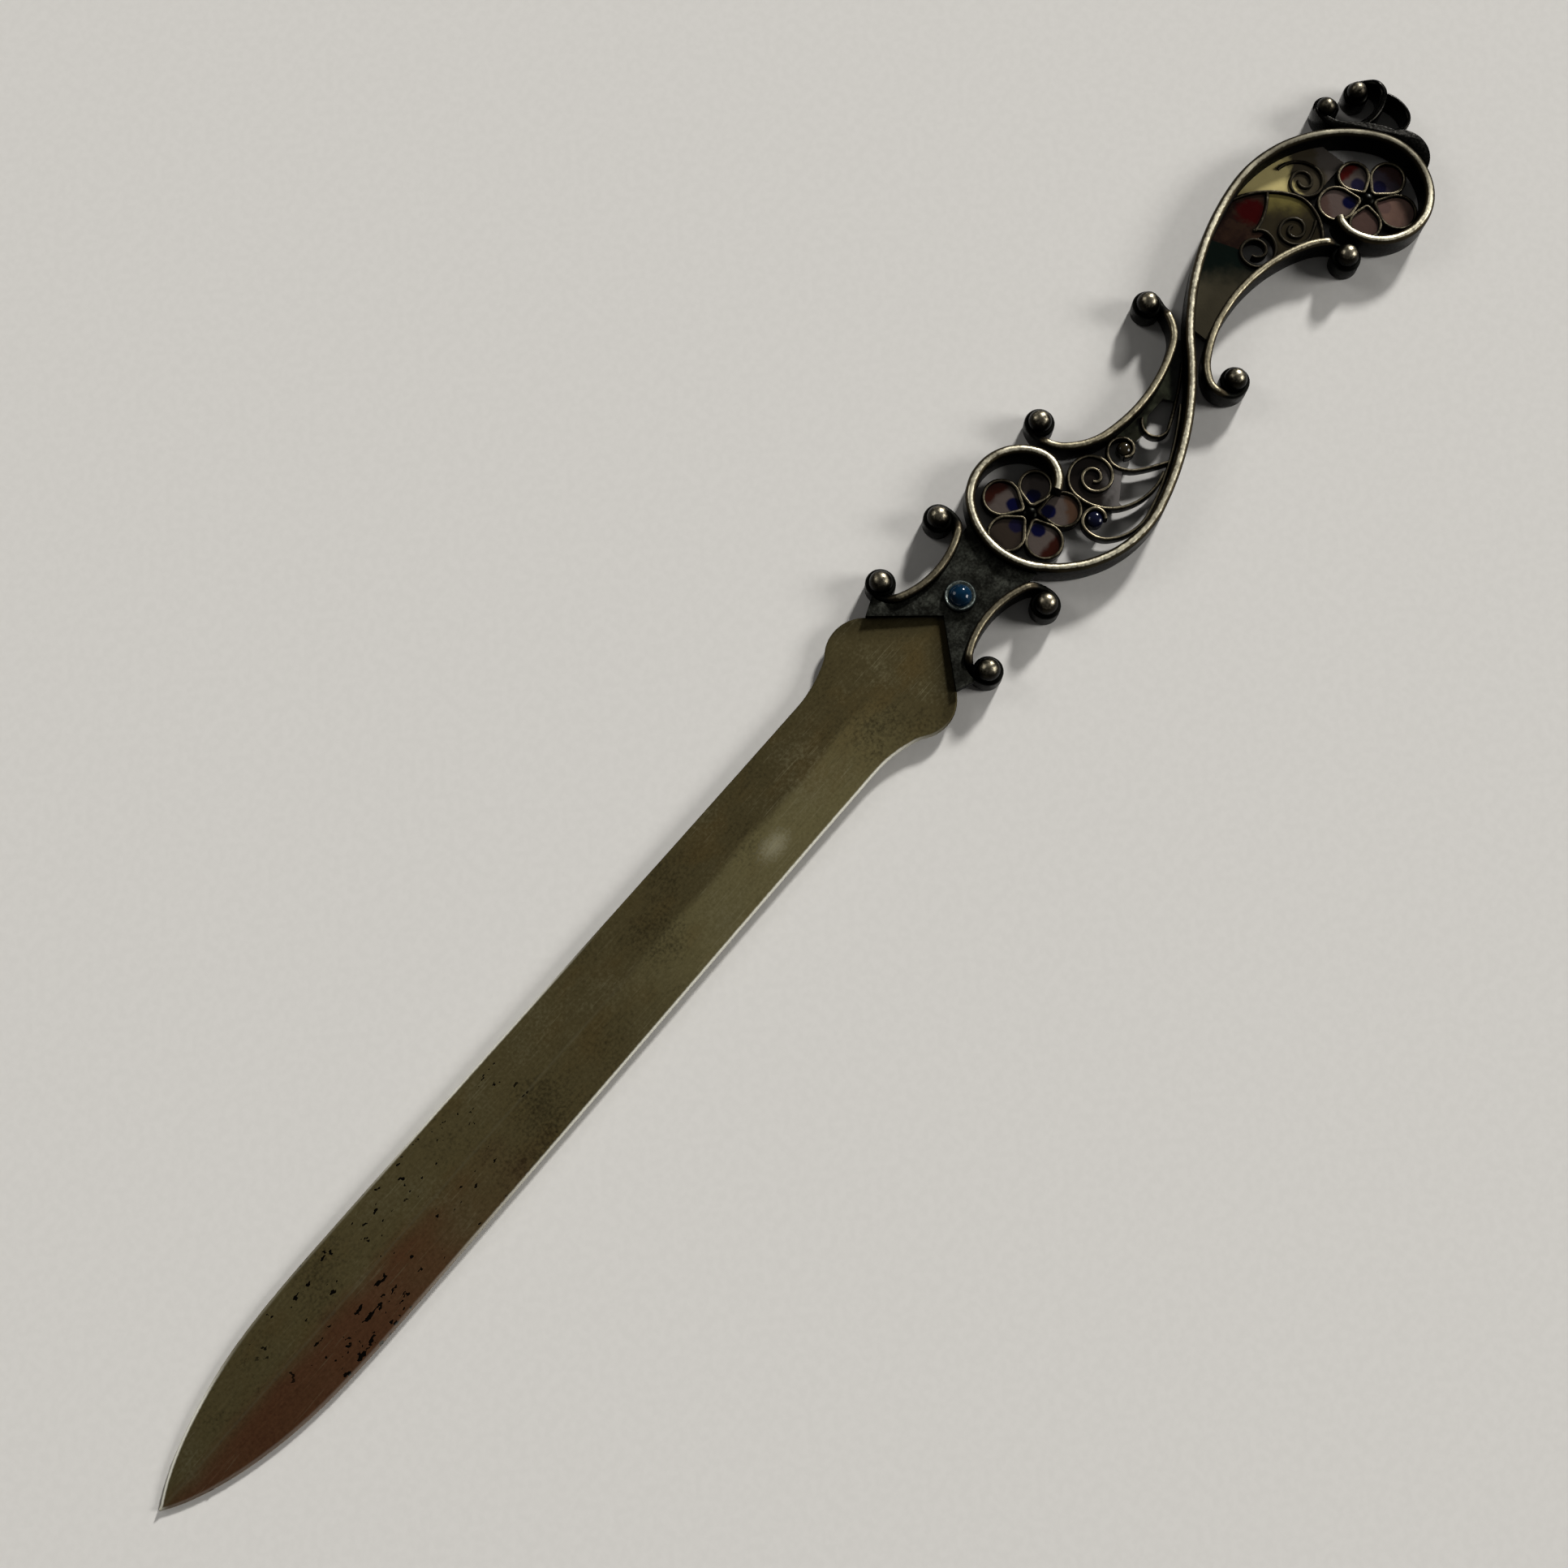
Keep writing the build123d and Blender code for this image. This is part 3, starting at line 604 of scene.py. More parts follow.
S_UPPER = [(32.9, -36.0), (15.3, -70.0), (7.2, -71.0), (5.8, -127.0), (2.9, -49.0)]
S_LOWER = [(36.6, -29.0), (13.0, -72.0), (8.3, -72.0), (5.6, -120.0), (3.2, -92.0)]
ROLL = (1.22, 330.0)
ROLL_BACK = (1.22, -330.0)
s_path = both_ways(S_MIDDLE, S_HEADING, S_LOWER, S_UPPER)
lower_side_path = both_ways(
    (-0.6, 0.7),
    203.8,
    [(4.4, 36.0), (15.2, 12.4), ROLL],
    [(19.7, -38.0), (8.2, -36.0), (3.85, -70.7), ROLL_BACK],
)
upper_side_path = both_ways(
    (0.7, -3.1),
    30.3,
    [(6.3, 24.5), (2.15, 146.0), ROLL],
    [(15.3, -19.0), (19.4, -39.0), (7.15, -41.2), ROLL_BACK],
)
shield_path = both_ways(
    (-37.5, 3.65),
    180.0,
    [(11.0, 25.0), (2.6, 84.0), ROLL],
    [(11.0, -25.0), (2.6, -84.0), ROLL_BACK],
)
print("points on the S:", len(s_path))

# %% [markdown]
# One Geometry Nodes tree bends a strip along any of these paths. It turns the path into a curve, sweeps a
# rounded strip section along it with the section upright, lowers the top where the path carries a drop, and
# shakes the walls a little, because hand-bent strip is never quite even. A Curve object with a bevel would
# also sweep a strip, but its section could not be filed lower at the ends.


# %% The strip tree
STRIP_WAVE = 0.45


def tree_inputs(name, source, numbers, result):
    """The sockets by name of a new Geometry Nodes tree: a source, some numbers and a metal."""
    tree = bpy.data.node_groups.new(name, "GeometryNodeTree")
    kinds = {source: "Geometry", **{number: "Float" for number in numbers}, "Metal": "Material"}
    for socket, kind in kinds.items():
        tree.interface.new_socket(socket, in_out="INPUT", socket_type="NodeSocket" + kind)
    tree.interface.new_socket(result, in_out="OUTPUT", socket_type="NodeSocketGeometry")
    inputs = tree.nodes.new("NodeGroupInput")
    return {socket.name: Socket(tree, socket) for socket in inputs.outputs if socket.name}


def tree_end(shape, metal):
    """The whole tree, once its shape is made real, shades smoothly and has its metal."""
    smooth = shape.node("GeometryNodeSetShadeSmooth", None, {"Geometry": shape})
    real = shape.node("GeometryNodeRealizeInstances", None, {"Geometry": smooth})
    finished = shape.node("GeometryNodeSetMaterial", None, {"Geometry": real, "Material": metal})
    outputs = shape.tree.nodes.new("NodeGroupOutput")
    shape.tree.links.new(finished.output, outputs.inputs[0])
    return shape.tree


def strip_tree():
    """The tree that sweeps an upright strip along a path."""
    numbers = ("Thickness", "Height", "Bottom", "Rounding", "Unevenness", "Seed")
    given = tree_inputs("strip_on_edge", "Path", numbers, "Strip")
    path = given["Path"]
    curve = path.node("GeometryNodeMeshToCurve", None, {"Mesh": path})
    upright = path.node("GeometryNodeSetCurveNormal", {"mode": "Z_UP"}, {"Curve": curve})
    size = {"Width": given["Thickness"], "Height": given["Height"]}
    section = path.node("GeometryNodeCurvePrimitiveQuadrilateral", None, size)
    corners = {"Curve": section, "Count": 5, "Radius": given["Rounding"], "Limit Radius": True}
    rounded = path.node("GeometryNodeFilletCurve", {"mode": "POLY"}, corners)
    sweep = {"Curve": upright, "Profile Curve": rounded, "Fill Caps": True}
    swept = path.node("GeometryNodeCurveToMesh", None, sweep)
    place = path.node("GeometryNodeInputPosition")
    wave = {"Vector": place, "W": given["Seed"], "Scale": STRIP_WAVE / MM, "Detail": 1.0}
    noise = path.node("ShaderNodeTexNoise", {"noise_dimensions": "4D"}, wave, output="Color")
    sway = path.vector("SUBTRACT", noise, (0.5, 0.5, 0.5))
    amount = path.node("ShaderNodeCombineXYZ", None, {0: given["Unevenness"], 1: given["Unevenness"]})
    shaken = path.vector("MULTIPLY", sway, amount)
    height = path.node("ShaderNodeSeparateXYZ", None, {0: place}, output=2)
    upper = path.maths("GREATER_THAN", height, given["Bottom"] + given["Height"] * 0.5)
    drop = path.node("GeometryNodeInputNamedAttribute", {"data_type": "FLOAT"}, {"Name": "drop"})
    lowered = path.node("ShaderNodeCombineXYZ", None, {2: upper * drop * -1.0})
    offset = path.vector("ADD", shaken, lowered)
    placed = path.node("GeometryNodeSetPosition", None, {"Geometry": swept, "Offset": offset})
    return tree_end(placed, given["Metal"])


bend = strip_tree()
print("strip tree:", len(bend.nodes), "nodes")

# %% [markdown]
# A tree works on an object through a modifier. Its result is turned into a plain mesh at once, so a finished
# piece needs nothing more worked out. Then the piece rides on the opener's body and hides a solid.


# %% From a tree to a piece
def settled(piece):
    """The piece, with its modifier worked out into a plain mesh."""
    depsgraph = bpy.context.evaluated_depsgraph_get()
    mesh = bpy.data.meshes.new_from_object(piece.evaluated_get(depsgraph))
    piece.modifiers.clear()
    piece.data = mesh
    return piece


def grown(name, source, tree, settings):
    """A plain mesh object from a tree that has worked on a source mesh."""
    piece = put(name, source)
    modifier = piece.modifiers.new("grown", "NODES")
    modifier.node_group = tree
    for item in tree.interface.items_tree:
        if item.in_out == "INPUT" and item.name in settings:
            modifier[item.identifier] = settings[item.name]
    return settled(piece)


def stands_for(piece, slot, *replaced):
    """The piece rides on the one body and hides the solids that it stands for; the slot is not used."""
    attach(piece, "root")
    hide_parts(*replaced)


# %% [markdown]
# The mesh that comes out of the tree is closed, and its faces are turned outwards. Edges sharper than the
# rounding of the section are marked, so that the cut ends stay crisp while the crest shades softly. Where a
# strip rolls up under a ball, its top is filed down, and the drop grows as the path comes near the ball.

# %% Strips from paths
CRISP = radians(50)
TOUCHING = 1e-7
CREST_ROUND = 0.47
FILED_FROM = 2.7
FILED_TO = 1.4
balls = {name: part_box(name) for name in nodes if name.startswith("ball_")}
ball_places = [((low + high) / 2 / MM) for low, high in balls.values()]


def filed(points, depth):
    """How much is filed off the top at each point of a path, most beside the balls."""
    drops = []
    for x, y, _ in points:
        nearest = min(sqrt((x - ORIGIN_X - p.x) ** 2 + (y - p.y) ** 2) for p in ball_places)
        share = min(1.0, max(0.0, (FILED_FROM - nearest) / (FILED_FROM - FILED_TO)))
        drops.append(depth * share * share * (3 - 2 * share))
    return drops


def softened(mesh):
    """Smooth shading, with only the hard edges kept sharp."""
    mesh.shade_smooth()
    mesh.set_sharp_from_angle(angle=CRISP)


def closed_outwards(mesh):
    """Joins loose points, turns all faces outwards and softens the shading."""
    work = bmesh.new()
    work.from_mesh(mesh)
    bmesh.ops.remove_doubles(work, verts=work.verts, dist=TOUCHING)
    bmesh.ops.recalc_face_normals(work, faces=work.faces)
    work.to_mesh(mesh)
    work.free()
    softened(mesh)


def strip(name, points, thick, bottom, top, metal, depth=0.0, closed=False, seed=0.0, uneven=0.05):
    """A strip on edge along a path, between two heights."""
    height = top - bottom
    source = bpy.data.meshes.new(name)
    rows = [((x - ORIGIN_X) * MM, y * MM, (bottom + height / 2) * MM) for x, y, _ in points]
    edges = [(i, i + 1) for i in range(len(rows) - 1)]
    if closed:
        edges.append((len(rows) - 1, 0))
    source.from_pydata(rows, edges, [])
    drops = filed(points, depth) if depth else [0.0] * len(rows)
    source.attributes.new("drop", "FLOAT", "POINT").data.foreach_set("value", [d * MM for d in drops])
    settings = {
        "Thickness": (thick - uneven) * MM,
        "Height": height * MM,
        "Bottom": bottom * MM,
        "Rounding": CREST_ROUND * (thick - uneven) * MM,
        "Unevenness": uneven * MM,
        "Seed": seed,
        "Metal": metal,
    }
    piece = grown(name, source, bend, settings)
    piece.data.attributes.remove(piece.data.attributes["drop"])
    closed_outwards(piece.data)
    return piece


print("balls to file towards:", len(ball_places))

# %% [markdown]
# The S is the backbone of the handle: one thick strip that closes to a loop at both ends. The two side
# scrolls lean on it near its middle, and the shield scrolls join it to the blade.

# %% S and scrolls
FRAME_THICK = 1.15
FRAME_TALL = 3.8
SCROLL_THICK = 0.95
SCROLL_TALL = 3.5
ROLL_TALL = 2.6


def scroll(name, node, path, thick, top, metal, slot, seed, rolled=True):
    """A strip that stands in place of a solid, filed lower where its ends are rolled."""
    depth = top - ROLL_TALL if rolled else 0.0
    piece = strip(name, path, thick, 0.0, top, silver[metal], depth=depth, seed=seed)
    stands_for(piece, slot, node)
    print(piece.name, len(piece.data.polygons), "faces")


frame_slot = "frame_silver"
scroll("s_strip", "s_frame", s_path, FRAME_THICK, FRAME_TALL, frame_slot, frame_slot, 1.0, rolled=False)
scrolls = {
    "side_scroll_lower": lower_side_path,
    "side_scroll_upper": upper_side_path,
    "shield_scroll_left": shield_path,
    "shield_scroll_right": mirrored(shield_path),
}
for number, (node, path) in enumerate(scrolls.items()):
    metal = "shield_silver" if node.startswith("shield") else "scroll_silver"
    scroll(node + "_strip", node, path, SCROLL_THICK, SCROLL_TALL, metal, frame_slot, 2.0 + number)

# %% [markdown]
# Every rolled end carries a ball of melted silver. The balls repeat, so a second tree puts one sphere on
# each point of a small cloud and scales it by the radius that the point carries. A melted ball is not quite
# round, and a little noise takes care of that.


# %% The ball tree
BALL_WAVE = 0.7


def ball_tree():
    """The tree that sets a slightly uneven ball on each point."""
    given = tree_inputs("melted_balls", "Places", ["Unevenness"], "Balls")
    start = given["Places"]
    points = start.node("GeometryNodeMeshToPoints", None, {"Mesh": start})
    sphere = start.node("GeometryNodeMeshUVSphere", None, {"Segments": 40, "Rings": 24, "Radius": 1.0})
    radius = start.node("GeometryNodeInputNamedAttribute", {"data_type": "FLOAT"}, {"Name": "reach"})
    sockets = {"Points": points, "Instance": sphere, "Scale": radius}
    instances = start.node("GeometryNodeInstanceOnPoints", None, sockets)
    real = start.node("GeometryNodeRealizeInstances", None, {"Geometry": instances})
    place = start.node("GeometryNodeInputPosition")
    wave = {"Vector": place, "Scale": BALL_WAVE / MM, "Detail": 1.0}
    noise = start.node("ShaderNodeTexNoise", None, wave, output="Color")
    sway = start.vector("SUBTRACT", noise, (0.5, 0.5, 0.5))
    scaled = {0: sway, "Scale": given["Unevenness"]}
    shaken = start.node("ShaderNodeVectorMath", {"operation": "SCALE"}, scaled)
    placed = start.node("GeometryNodeSetPosition", None, {"Geometry": real, "Offset": shaken})
    return tree_end(placed, given["Metal"])


melt = ball_tree()
print("ball tree:", len(melt.nodes), "nodes")

# %% [markdown]
# The places and radii come from the boxes of the solid balls. A solid ball has a flat seat, so its box is
# cut off below, and the middle is measured down from the top. Each radius is a little smaller than the
# solid's, so that the unevenness stays inside it.

# %% Balls
BALL_UNEVEN = 0.06
cloud = bpy.data.meshes.new("ball_places")
centres = []
reaches = []
for low, high in balls.values():
    reach = (high.x - low.x) / 2
    centres.append(((low.x + high.x) / 2, (low.y + high.y) / 2, high.z - reach))
    reaches.append(reach - BALL_UNEVEN / 2 * MM)
cloud.from_pydata(centres, [], [])
cloud.attributes.new("reach", "FLOAT", "POINT").data.foreach_set("value", reaches)
settings = {"Unevenness": BALL_UNEVEN * MM, "Metal": silver["ball_silver"]}
ball_piece = grown("melted_balls", cloud, melt, settings)
closed_outwards(ball_piece.data)
stands_for(ball_piece, "ball_silver", *balls)
print("balls:", len(centres), "faces:", len(ball_piece.data.polygons))

# %% [markdown]
# The filigree is thin flat wire set on edge between the strips. Every wire is a path of arcs that runs on
# into the metal it is soldered to. The stretch inside that metal is left off, so that no end comes out on
# the far side of a strip.

# %% Paths of the filigree wires
WIRE_THICK = 0.42
WIRE_BOTTOM = 0.5
WIRE_TOP = 1.9
SOLDERED = 0.2
EDGE_WIRE_FROM = 9.0


def wall(points, half):
    """A search tree over a strip's path, with the half thickness of the strip."""
    finder = KDTree(len(points))
    for index, (x, y, _) in enumerate(points):
        finder.insert((x, y, 0.0), index)
    finder.balance()
    return finder, half


walls = [
    wall(s_path, FRAME_THICK / 2),
    wall(lower_side_path, SCROLL_THICK / 2),
    wall(upper_side_path, SCROLL_THICK / 2),
]


def between_walls(points):
    """The longest stretch of a path that is not sunk in a strip by more than the solder joint."""
    runs = [[]]
    for point in points:
        sunk = max(half - finder.find((point[0], point[1], 0.0))[2] for finder, half in walls)
        if sunk < SOLDERED:
            runs[-1].append(point)
        elif runs[-1]:
            runs.append([])
    return max(runs, key=len)


wall_gap = (FRAME_THICK + WIRE_THICK) / 2
wall_x, wall_y, wall_angle = walk(S_MIDDLE, S_HEADING + 180, [(S_LOWER[0][0], -EDGE_WIRE_FROM)])[-1]
edge_start = (wall_x + wall_gap * sin(wall_angle), wall_y - wall_gap * cos(wall_angle))
edge_arcs = [
    (S_LOWER[0][0] - wall_gap, S_LOWER[0][1] + EDGE_WIRE_FROM),
    (S_LOWER[1][0] - wall_gap, -6.0),
    (5.55, -52.0),
    (2.8, -57.5),
    (1.55, -101.0),
    (1.16, -120.0),
]
wires = {
    "lower_edge_wire": walk(edge_start, degrees(wall_angle), edge_arcs),
    "lower_large_spiral": both_ways(
        (-17.7, 0.45),
        175.0,
        [(2.4, -110.0), (1.9, -110.0), (1.45, -120.0), (1.0, -150.0), (0.6, -120.0)],
        [(2.7, 92.0), (5.4, 57.0), (6.6, 56.0)],
    ),
    "lower_small_spiral": both_ways(
        (-13.9, -1.15),
        200.0,
        [(1.5, -120.0), (1.05, -130.0)],
        [(2.0, 85.0), (3.4, 36.0), (20.0, 11.0)],
    ),
    "lower_arch_wire": both_ways(
        (-9.2, -2.1), 212.0, [(10.0, -2.0)], [(1.65, 78.0), (1.4, 91.0), (35.0, 13.0)]
    ),
    "upper_leaf_wire": both_ways(
        (19.2, 6.2), -30.6, [(9.45, 9.0)], [(9.45, -36.0), (3.63, -39.8), (6.44, -43.0)]
    ),
    "upper_far_spiral": both_ways(
        (27.35, 2.0), 270.0, [(3.2, 85.0)], [(2.0, -150.0), (1.6, -120.0), (1.15, -150.0), (0.75, -180.0)]
    ),
    "upper_near_spiral": both_ways(
        (17.5, 1.2), 270.0, [(1.6, 60.0)], [(2.4, -100.0), (1.9, -120.0), (1.5, -150.0), (1.0, -170.0)]
    ),
    "upper_middle_spiral": both_ways(
        (18.0, -0.8), 270.0, [(1.55, -160.0), (1.15, -150.0), (0.75, -170.0)], [(1.9, 100.0), (6.0, 20.0)]
    ),
}
vein_path = walk((21.4, 4.3), 220.0, [(8.0, -36.0)])
print("wires:", len(wires))

# %% [markdown]
# The wires go through the same tree as the strips, only thinner and lower. Each top is a hair lower than the
# one before it, because two tops at one height would flicker where wires cross. The leaf wire has a vein, so
# its two meshes are joined to one piece.

# %% Filigree wires
TOP_STEP = 0.02
WIRE_UNEVEN = 0.04


def joined(first, second):
    """Two pieces made one."""
    work = bmesh.new()
    work.from_mesh(first.data)
    work.from_mesh(second.data)
    work.to_mesh(first.data)
    work.free()
    bpy.data.objects.remove(second)
    softened(first.data)
    return first


def wire(node, points, number, seed, closed=False):
    """A filigree wire whose top is lower by its number."""
    return strip(
        node + "_bent",
        points,
        WIRE_THICK,
        WIRE_BOTTOM,
        WIRE_TOP - TOP_STEP * number,
        silver["filigree_wire"],
        closed=closed,
        seed=seed,
        uneven=WIRE_UNEVEN,
    )


for number, (node, path) in enumerate(wires.items()):
    piece = wire(node, between_walls(path), number, 10.0 + number)
    if node == "upper_leaf_wire":
        top = WIRE_TOP - TOP_STEP * number - TOP_STEP / 2
        vein_points = between_walls(vein_path)
        vein = strip("vein", vein_points, WIRE_THICK, WIRE_BOTTOM, top, silver["filigree_wire"])
        piece = joined(piece, vein)
    stands_for(piece, "filigree_wire", node)
    print(piece.name, len(piece.data.polygons), "faces")

# %% [markdown]
# A petal is one wire bent round to its own start: a wide arc outside, a narrow one at the flower's middle,
# and two straight sides that touch both.

# %% Petal wires
PETAL_LAP = 0.06
PETAL_BASE_RADIUS = 0.55
PETAL_HEEL = 0.1
FLOWER_BEAD_RADIUS = 0.95
PETAL_REACHES = {"lower": [5.1, 5.75, 5.75, 5.75, 5.75], "upper": [5.5, 5.0, 5.8, 5.0, 5.9]}
PETAL_STEPS = 36
HEEL_STEPS = 10


def petal_path(flower, turn, reach):
    """The closed path of one petal's wire."""
    half = pi / PETALS
    big = reach * sin(half) / (1 + sin(half)) + PETAL_LAP
    big_at = reach - big
    base_at = FLOWER_BEAD_RADIUS + PETAL_HEEL + PETAL_BASE_RADIUS - WIRE_THICK / 2
    big_middle = big - WIRE_THICK / 2
    base_middle = PETAL_BASE_RADIUS - WIRE_THICK / 4
    touch = pi / 2 + asin((big_middle - base_middle) / (big_at - base_at))
    outer = [touch - 2 * touch * step / PETAL_STEPS for step in range(PETAL_STEPS + 1)]
    inner_turn = 2 * (pi - touch)
    inner = [-touch - inner_turn * step / HEEL_STEPS for step in range(HEEL_STEPS + 1)]
    local = [(big_at + big_middle * cos(a), big_middle * sin(a)) for a in outer]
    local += [(base_at + base_middle * cos(a), base_middle * sin(a)) for a in inner]
    c, s = cos(radians(turn)), sin(radians(turn))
    return [(flower[0] + u * c - v * s, flower[1] + u * s + v * c, 0.0) for u, v in local]


for part, (flower, turn) in FLOWERS.items():
    for number, reach in enumerate(PETAL_REACHES[part]):
        node = f"{part}_petal_wire_{number + 1}"
        path = petal_path(flower, turn + number * 360 / PETALS, reach)
        piece = wire(node, path, number, 20.0 + number, closed=True)
        stands_for(piece, "filigree_wire", node)
print("petal wires:", PETALS * 2)

# %% [markdown]
# The beads, the stone and its collar are round, so each is a profile turned about an upright axis, as on a
# lathe. Turning it in mesh code keeps the points on the axis single and the shape closed.


# %% Turned pieces
LATHE_STEPS = 48


def turned(name, node, profile, finish):
    """A closed round piece from a profile of radius and height, in millimetres, set at a node's middle."""
    low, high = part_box(node)
    middle = (low + high) / 2
    work = bmesh.new()
    rings = []
    for radius, height in profile:
        if radius == 0:
            rings.append([work.verts.new((middle.x, middle.y, height * MM))] * LATHE_STEPS)
            continue
        ring = []
        for step in range(LATHE_STEPS):
            angle = 2 * pi * step / LATHE_STEPS
            x = middle.x + radius * MM * cos(angle)
            y = middle.y + radius * MM * sin(angle)
            ring.append(work.verts.new((x, y, height * MM)))
        rings.append(ring)
    for lower, upper in zip(rings, rings[1:] + rings[:1]):
        if lower[0] is lower[1] and upper[0] is upper[1]:
            continue
        for step in range(LATHE_STEPS):
            after = (step + 1) % LATHE_STEPS
            corners = [lower[step], lower[after], upper[after], upper[step]]
            work.faces.new(list(dict.fromkeys(corners)))
    mesh = bpy.data.meshes.new(name)
    work.to_mesh(mesh)
    work.free()
    mesh.materials.append(finish)
    closed_outwards(mesh)
    return put(name, mesh)


def dome(radius, bottom, shoulder, top, steps=10):
    """The profile of a bead: an upright foot and a round top."""
    profile = [(0, bottom), (radius, bottom)]
    for step in range(steps + 1):
        angle = pi / 2 * step / steps
        profile.append((radius * cos(angle), shoulder + (top - shoulder) * sin(angle)))
    profile[-1] = (0, top)
    return profile


def height_of(node):
    """The lowest and highest point of a node, and its radius, in millimetres."""
    low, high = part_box(node)
    return low.z / MM, high.z / MM, (high.x - low.x) / 2 / MM


beads = {
    "lower_flower_bead": ("filigree_wire", silver["finial_silver"]),
    "upper_flower_bead": ("filigree_wire", silver["finial_silver"]),
    "lower_blue_bead": ("blue_enamel", glass["blue_enamel"]),
    "lower_yellow_bead": ("yellow_enamel", glass["light_enamel"]),
}
BEAD_CROWN = 0.6
for node, (slot, finish) in beads.items():
    bottom, top, radius = height_of(node)
    profile = dome(radius, bottom, top - BEAD_CROWN, top)
    stands_for(turned(node + "_round", node, profile, finish), slot, node)
print("beads:", len(beads))

# %% [markdown]
# The blue stone is a dome without facets. It sits in a collar of thin silver, whose lip is pressed over the
# stone's edge and holds it.

# %% Stone and collar
STONE_SHOULDER = 0.3
WALL_LAP = 0.02
LIP_LAP = 0.12
LIP_HEIGHTS = (0.08, 0.25)
COLLAR_ROUND = [(0.0, 0.3), (0.05, 0.1), (0.18, 0.0), (0.32, 0.04)]
bottom, top, radius = height_of("blue_cabochon")
_, rim, collar = height_of("stone_bezel")
profile = dome(radius, bottom, rim - STONE_SHOULDER, top)
stone = turned("cabochon_dome", "blue_cabochon", profile, glass["teal_stone"])
stands_for(stone, "teal_stone", "blue_cabochon")
collar_profile = [(radius - WALL_LAP, bottom), (collar, bottom)]
collar_profile += [(collar - inwards, rim - down) for inwards, down in COLLAR_ROUND]
collar_profile += [(radius - LIP_LAP, rim - down) for down in LIP_HEIGHTS]
ring = turned("pressed_collar", "stone_bezel", collar_profile, silver["bezel_silver"])
stands_for(ring, "bezel_silver", "stone_bezel")
print("stone radius in mm:", round(radius, 2))

# %% [markdown]
# The blade is the largest surface in the picture. Its outline, ridge and thickness are read from the solid:
# a ray down and a ray up at each point of a grid find its two faces. The grid lets the edges be rounded
# over, and it carries the distance from the edge for the finish.

# %% Outline and faces of the solid blade
OFF_RIDGE = 0.2
RAY_FROM = 20.0
blade_mesh = nodes["blade"].data
outline = sorted({(v.co.x, v.co.y) for v in blade_mesh.vertices if v.co.y > OFF_RIDGE * MM})
tip_x = min(v.co.x for v in blade_mesh.vertices)
outline_x = [tip_x] + [x for x, _ in outline]
outline_y = [0.0] + [y for _, y in outline]
faces_found = BVHTree.FromPolygons(
    [v.co.copy() for v in blade_mesh.vertices], [tuple(p.vertices) for p in blade_mesh.polygons]
)


def skin(x, y, downwards):
    """The height of the solid's upper or lower face at a point."""
    side = 1 if downwards else -1
    start = Vector((x, y, side * RAY_FROM * MM))
    return faces_found.ray_cast(start, Vector((0, 0, -side)))[0].z


print("points on the outline:", len(outline_x))

# %% [markdown]
# Each row of the grid is a ring of points round the blade, close together near the edges, where the rounding
# is. The first and last rings and the outermost points lie a hair inside the solid, so that the rays meet it.

# %% Blade
ROWS = 260
FIRST_ROW = 0.0008
LAST_ROW = 0.9995
OUTLINE_SHARE = 0.9985
EDGE_STEPS = (0.0, 0.04, 0.1, 0.18, 0.3, 0.5)
FLAT_STEPS = 9
EDGE_ROUND = 0.22


def blade_columns(half):
    """Distances from the edge, in metres, of the grid points from one edge to the middle."""
    squeeze = min(1.0, half / (2 * EDGE_STEPS[-1] * MM))
    near = [step * MM * squeeze for step in EDGE_STEPS]
    rest = [near[-1] + (half - near[-1]) * step / FLAT_STEPS for step in range(1, FLAT_STEPS + 1)]
    return near + rest


work = bmesh.new()
edge_layer = work.verts.layers.float.new("edge")
rows = []
for row in range(ROWS + 1):
    x = outline_x[0] + (outline_x[-1] - outline_x[0]) * min(max(row / ROWS, FIRST_ROW), LAST_ROW)
    half = float(np.interp(x, outline_x, outline_y)) * OUTLINE_SHARE
    distances = blade_columns(half)
    places = [(d - half, d) for d in distances] + [(half - d, d) for d in reversed(distances[:-1])]
    ring = []
    for downwards in (True, False):
        for y, d in places if downwards else reversed(places):
            z = skin(x, y, downwards)
            rounding = max(0.0, EDGE_ROUND * MM - d)
            fall = EDGE_ROUND * MM - sqrt((EDGE_ROUND * MM) ** 2 - rounding**2)
            vertex = work.verts.new((x, y, z - fall if downwards else z + fall))
            vertex[edge_layer] = d / MM
            ring.append(vertex)
    rows.append(ring)
for first, second in zip(rows, rows[1:]):
    for index in range(len(first)):
        after = (index + 1) % len(first)
        work.faces.new([first[index], first[after], second[after], second[index]])
work.faces.new(rows[0])
work.faces.new(list(reversed(rows[-1])))
blade_skin = bpy.data.meshes.new("blade_forged")
work.to_mesh(blade_skin)
work.free()
blade_skin.materials.append(blade_metal)
closed_outwards(blade_skin)
stands_for(put("blade_forged", blade_skin), "blade_metal", "blade")
print("blade faces:", len(blade_skin.polygons))

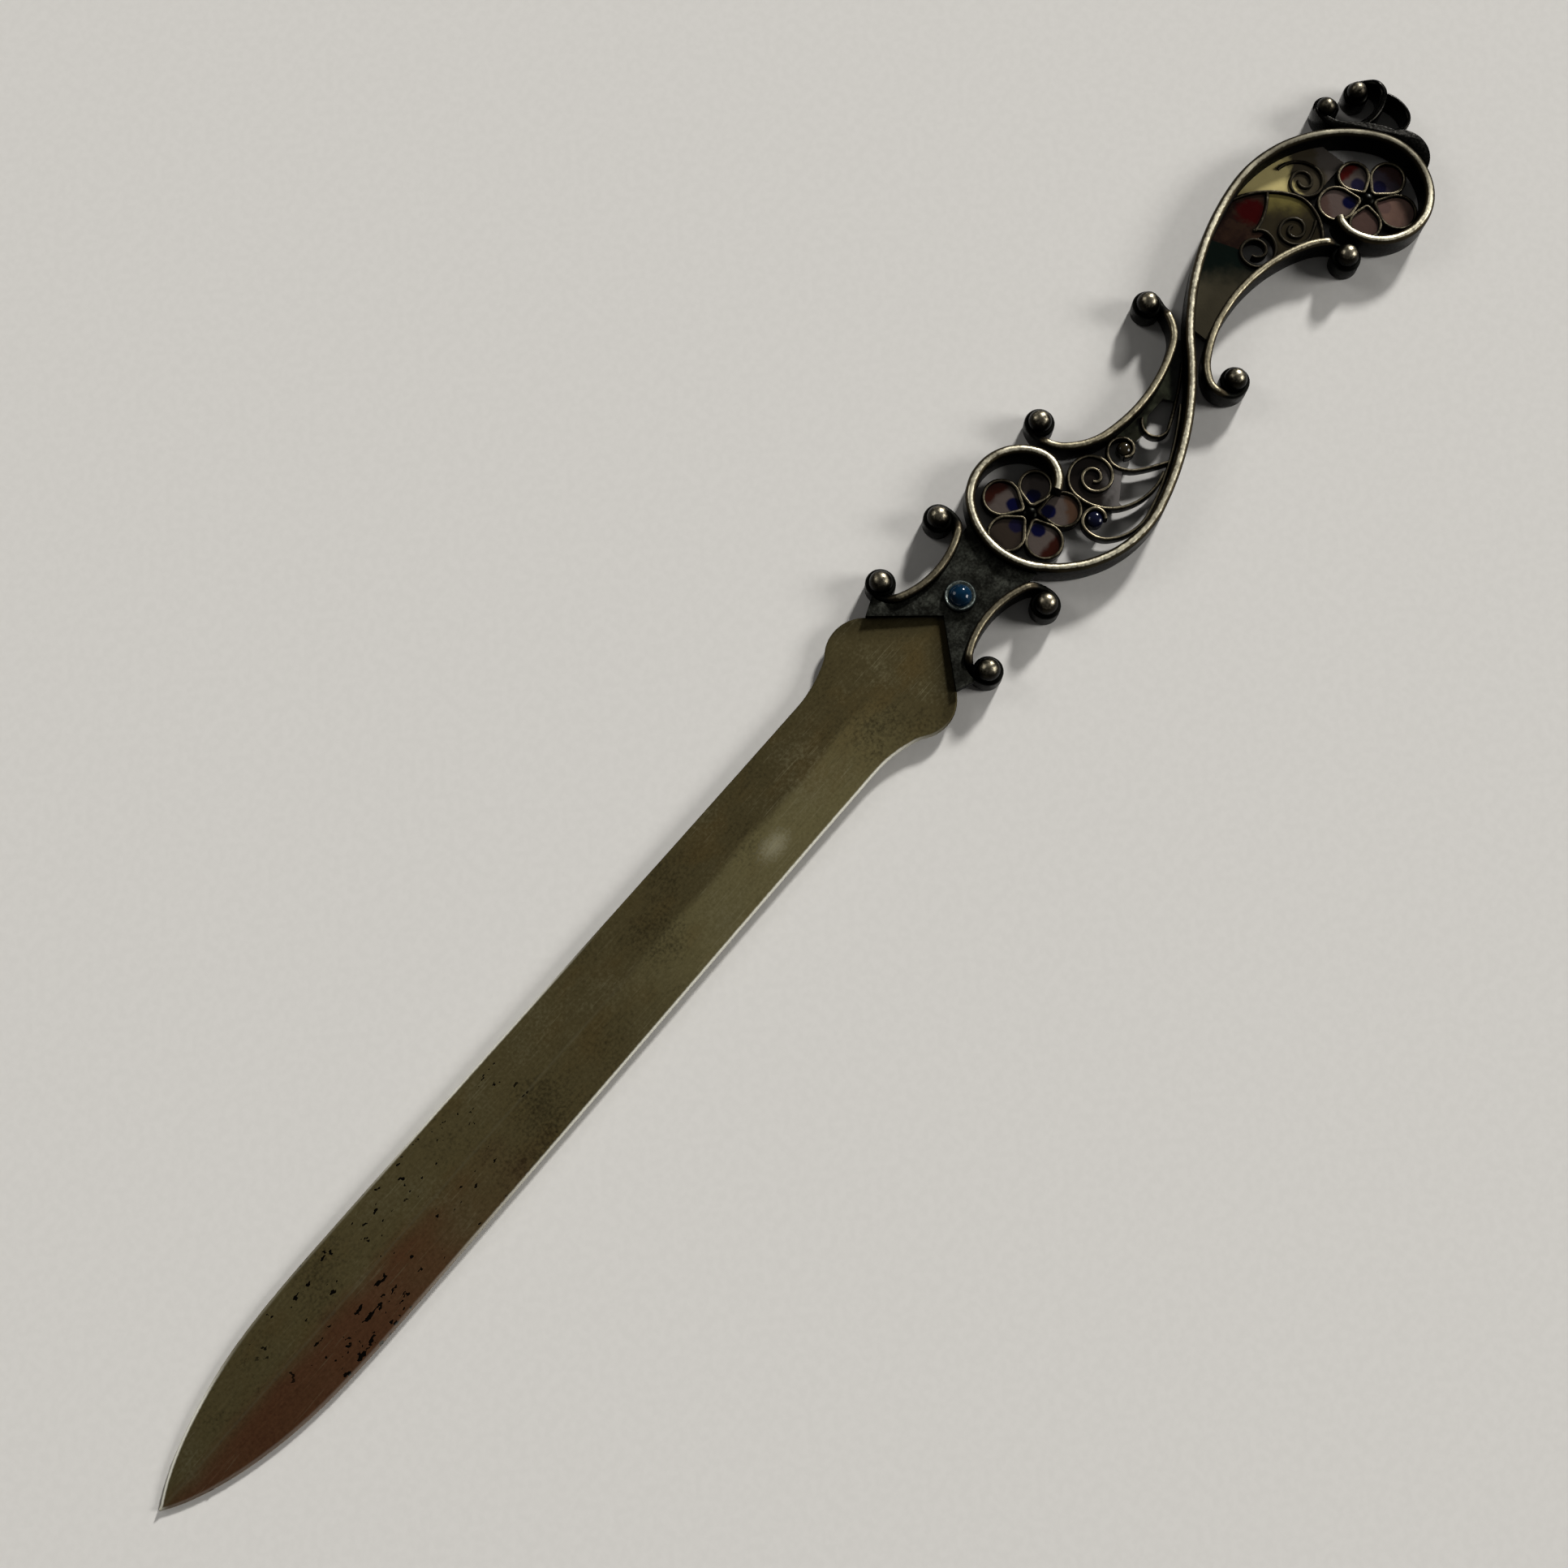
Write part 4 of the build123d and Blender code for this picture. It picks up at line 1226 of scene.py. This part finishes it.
# %% [markdown]
# The shield plate and the base of the finial are flat work with sawn outlines. A copy of the solid is
# merged, its flat faces are joined again, and a Bevel modifier takes the sharp edge off, as a file would.


# %% Filed pieces
FLAT_ANGLE = radians(0.5)
FILED_ANGLE = radians(40)


def filed_copy(name, node, width, finish):
    """A copy of a solid with its sharp edges rounded over, as a plain mesh."""
    mesh = nodes[node].data.copy()
    work = bmesh.new()
    work.from_mesh(mesh)
    bmesh.ops.remove_doubles(work, verts=work.verts, dist=TOUCHING)
    bmesh.ops.dissolve_limit(work, angle_limit=FLAT_ANGLE, verts=work.verts, edges=work.edges)
    work.to_mesh(mesh)
    work.free()
    mesh.materials.clear()
    mesh.materials.append(finish)
    piece = put(name, mesh)
    bevel = piece.modifiers.new("filed", "BEVEL")
    bevel.width = width * MM
    bevel.segments = 3
    bevel.limit_method = "ANGLE"
    bevel.angle_limit = FILED_ANGLE
    settled(piece)
    softened(piece.data)
    return piece


for name, node, width, finish in (
    ("shield_plate_filed", "shield_plate", 0.12, "dark_plate"),
    ("finial_base_filed", "finial_base", 0.15, "finial_silver"),
):
    piece = filed_copy(name, node, width, silver[finish])
    stands_for(piece, finish, node)
    print(piece.name, len(piece.data.polygons), "faces")

# %% [markdown]
# The finial's hook and the thin loop beside it are bent strip again, so they go through the strip tree.

# %% Finial hook and loop
FINIAL_TALL = 3.3
LOOP_THICK = 0.6
LOOP_LOWER = 0.05
hook_path = walk((34.2, 1.1), -22.3, [(5.0, 52.0), (1.6, 90.0), (3.2, 40.0), (1.0, 330.0)])
loop_path = walk((38.94, 1.17), -71.7, [(3.9, -42.5), (1.79, -94.6), (3.81, -30.0)])
dark = "finial_silver"
loop_top = FINIAL_TALL - LOOP_LOWER
scroll("finial_hook_strip", "finial_hook", hook_path, SCROLL_THICK, FINIAL_TALL, dark, dark, 30.0)
scroll("finial_loop_strip", "finial_loop", loop_path, LOOP_THICK, loop_top, dark, dark, 31.0, rolled=False)

# %% [markdown]
# The finished model must not be larger than the solids.
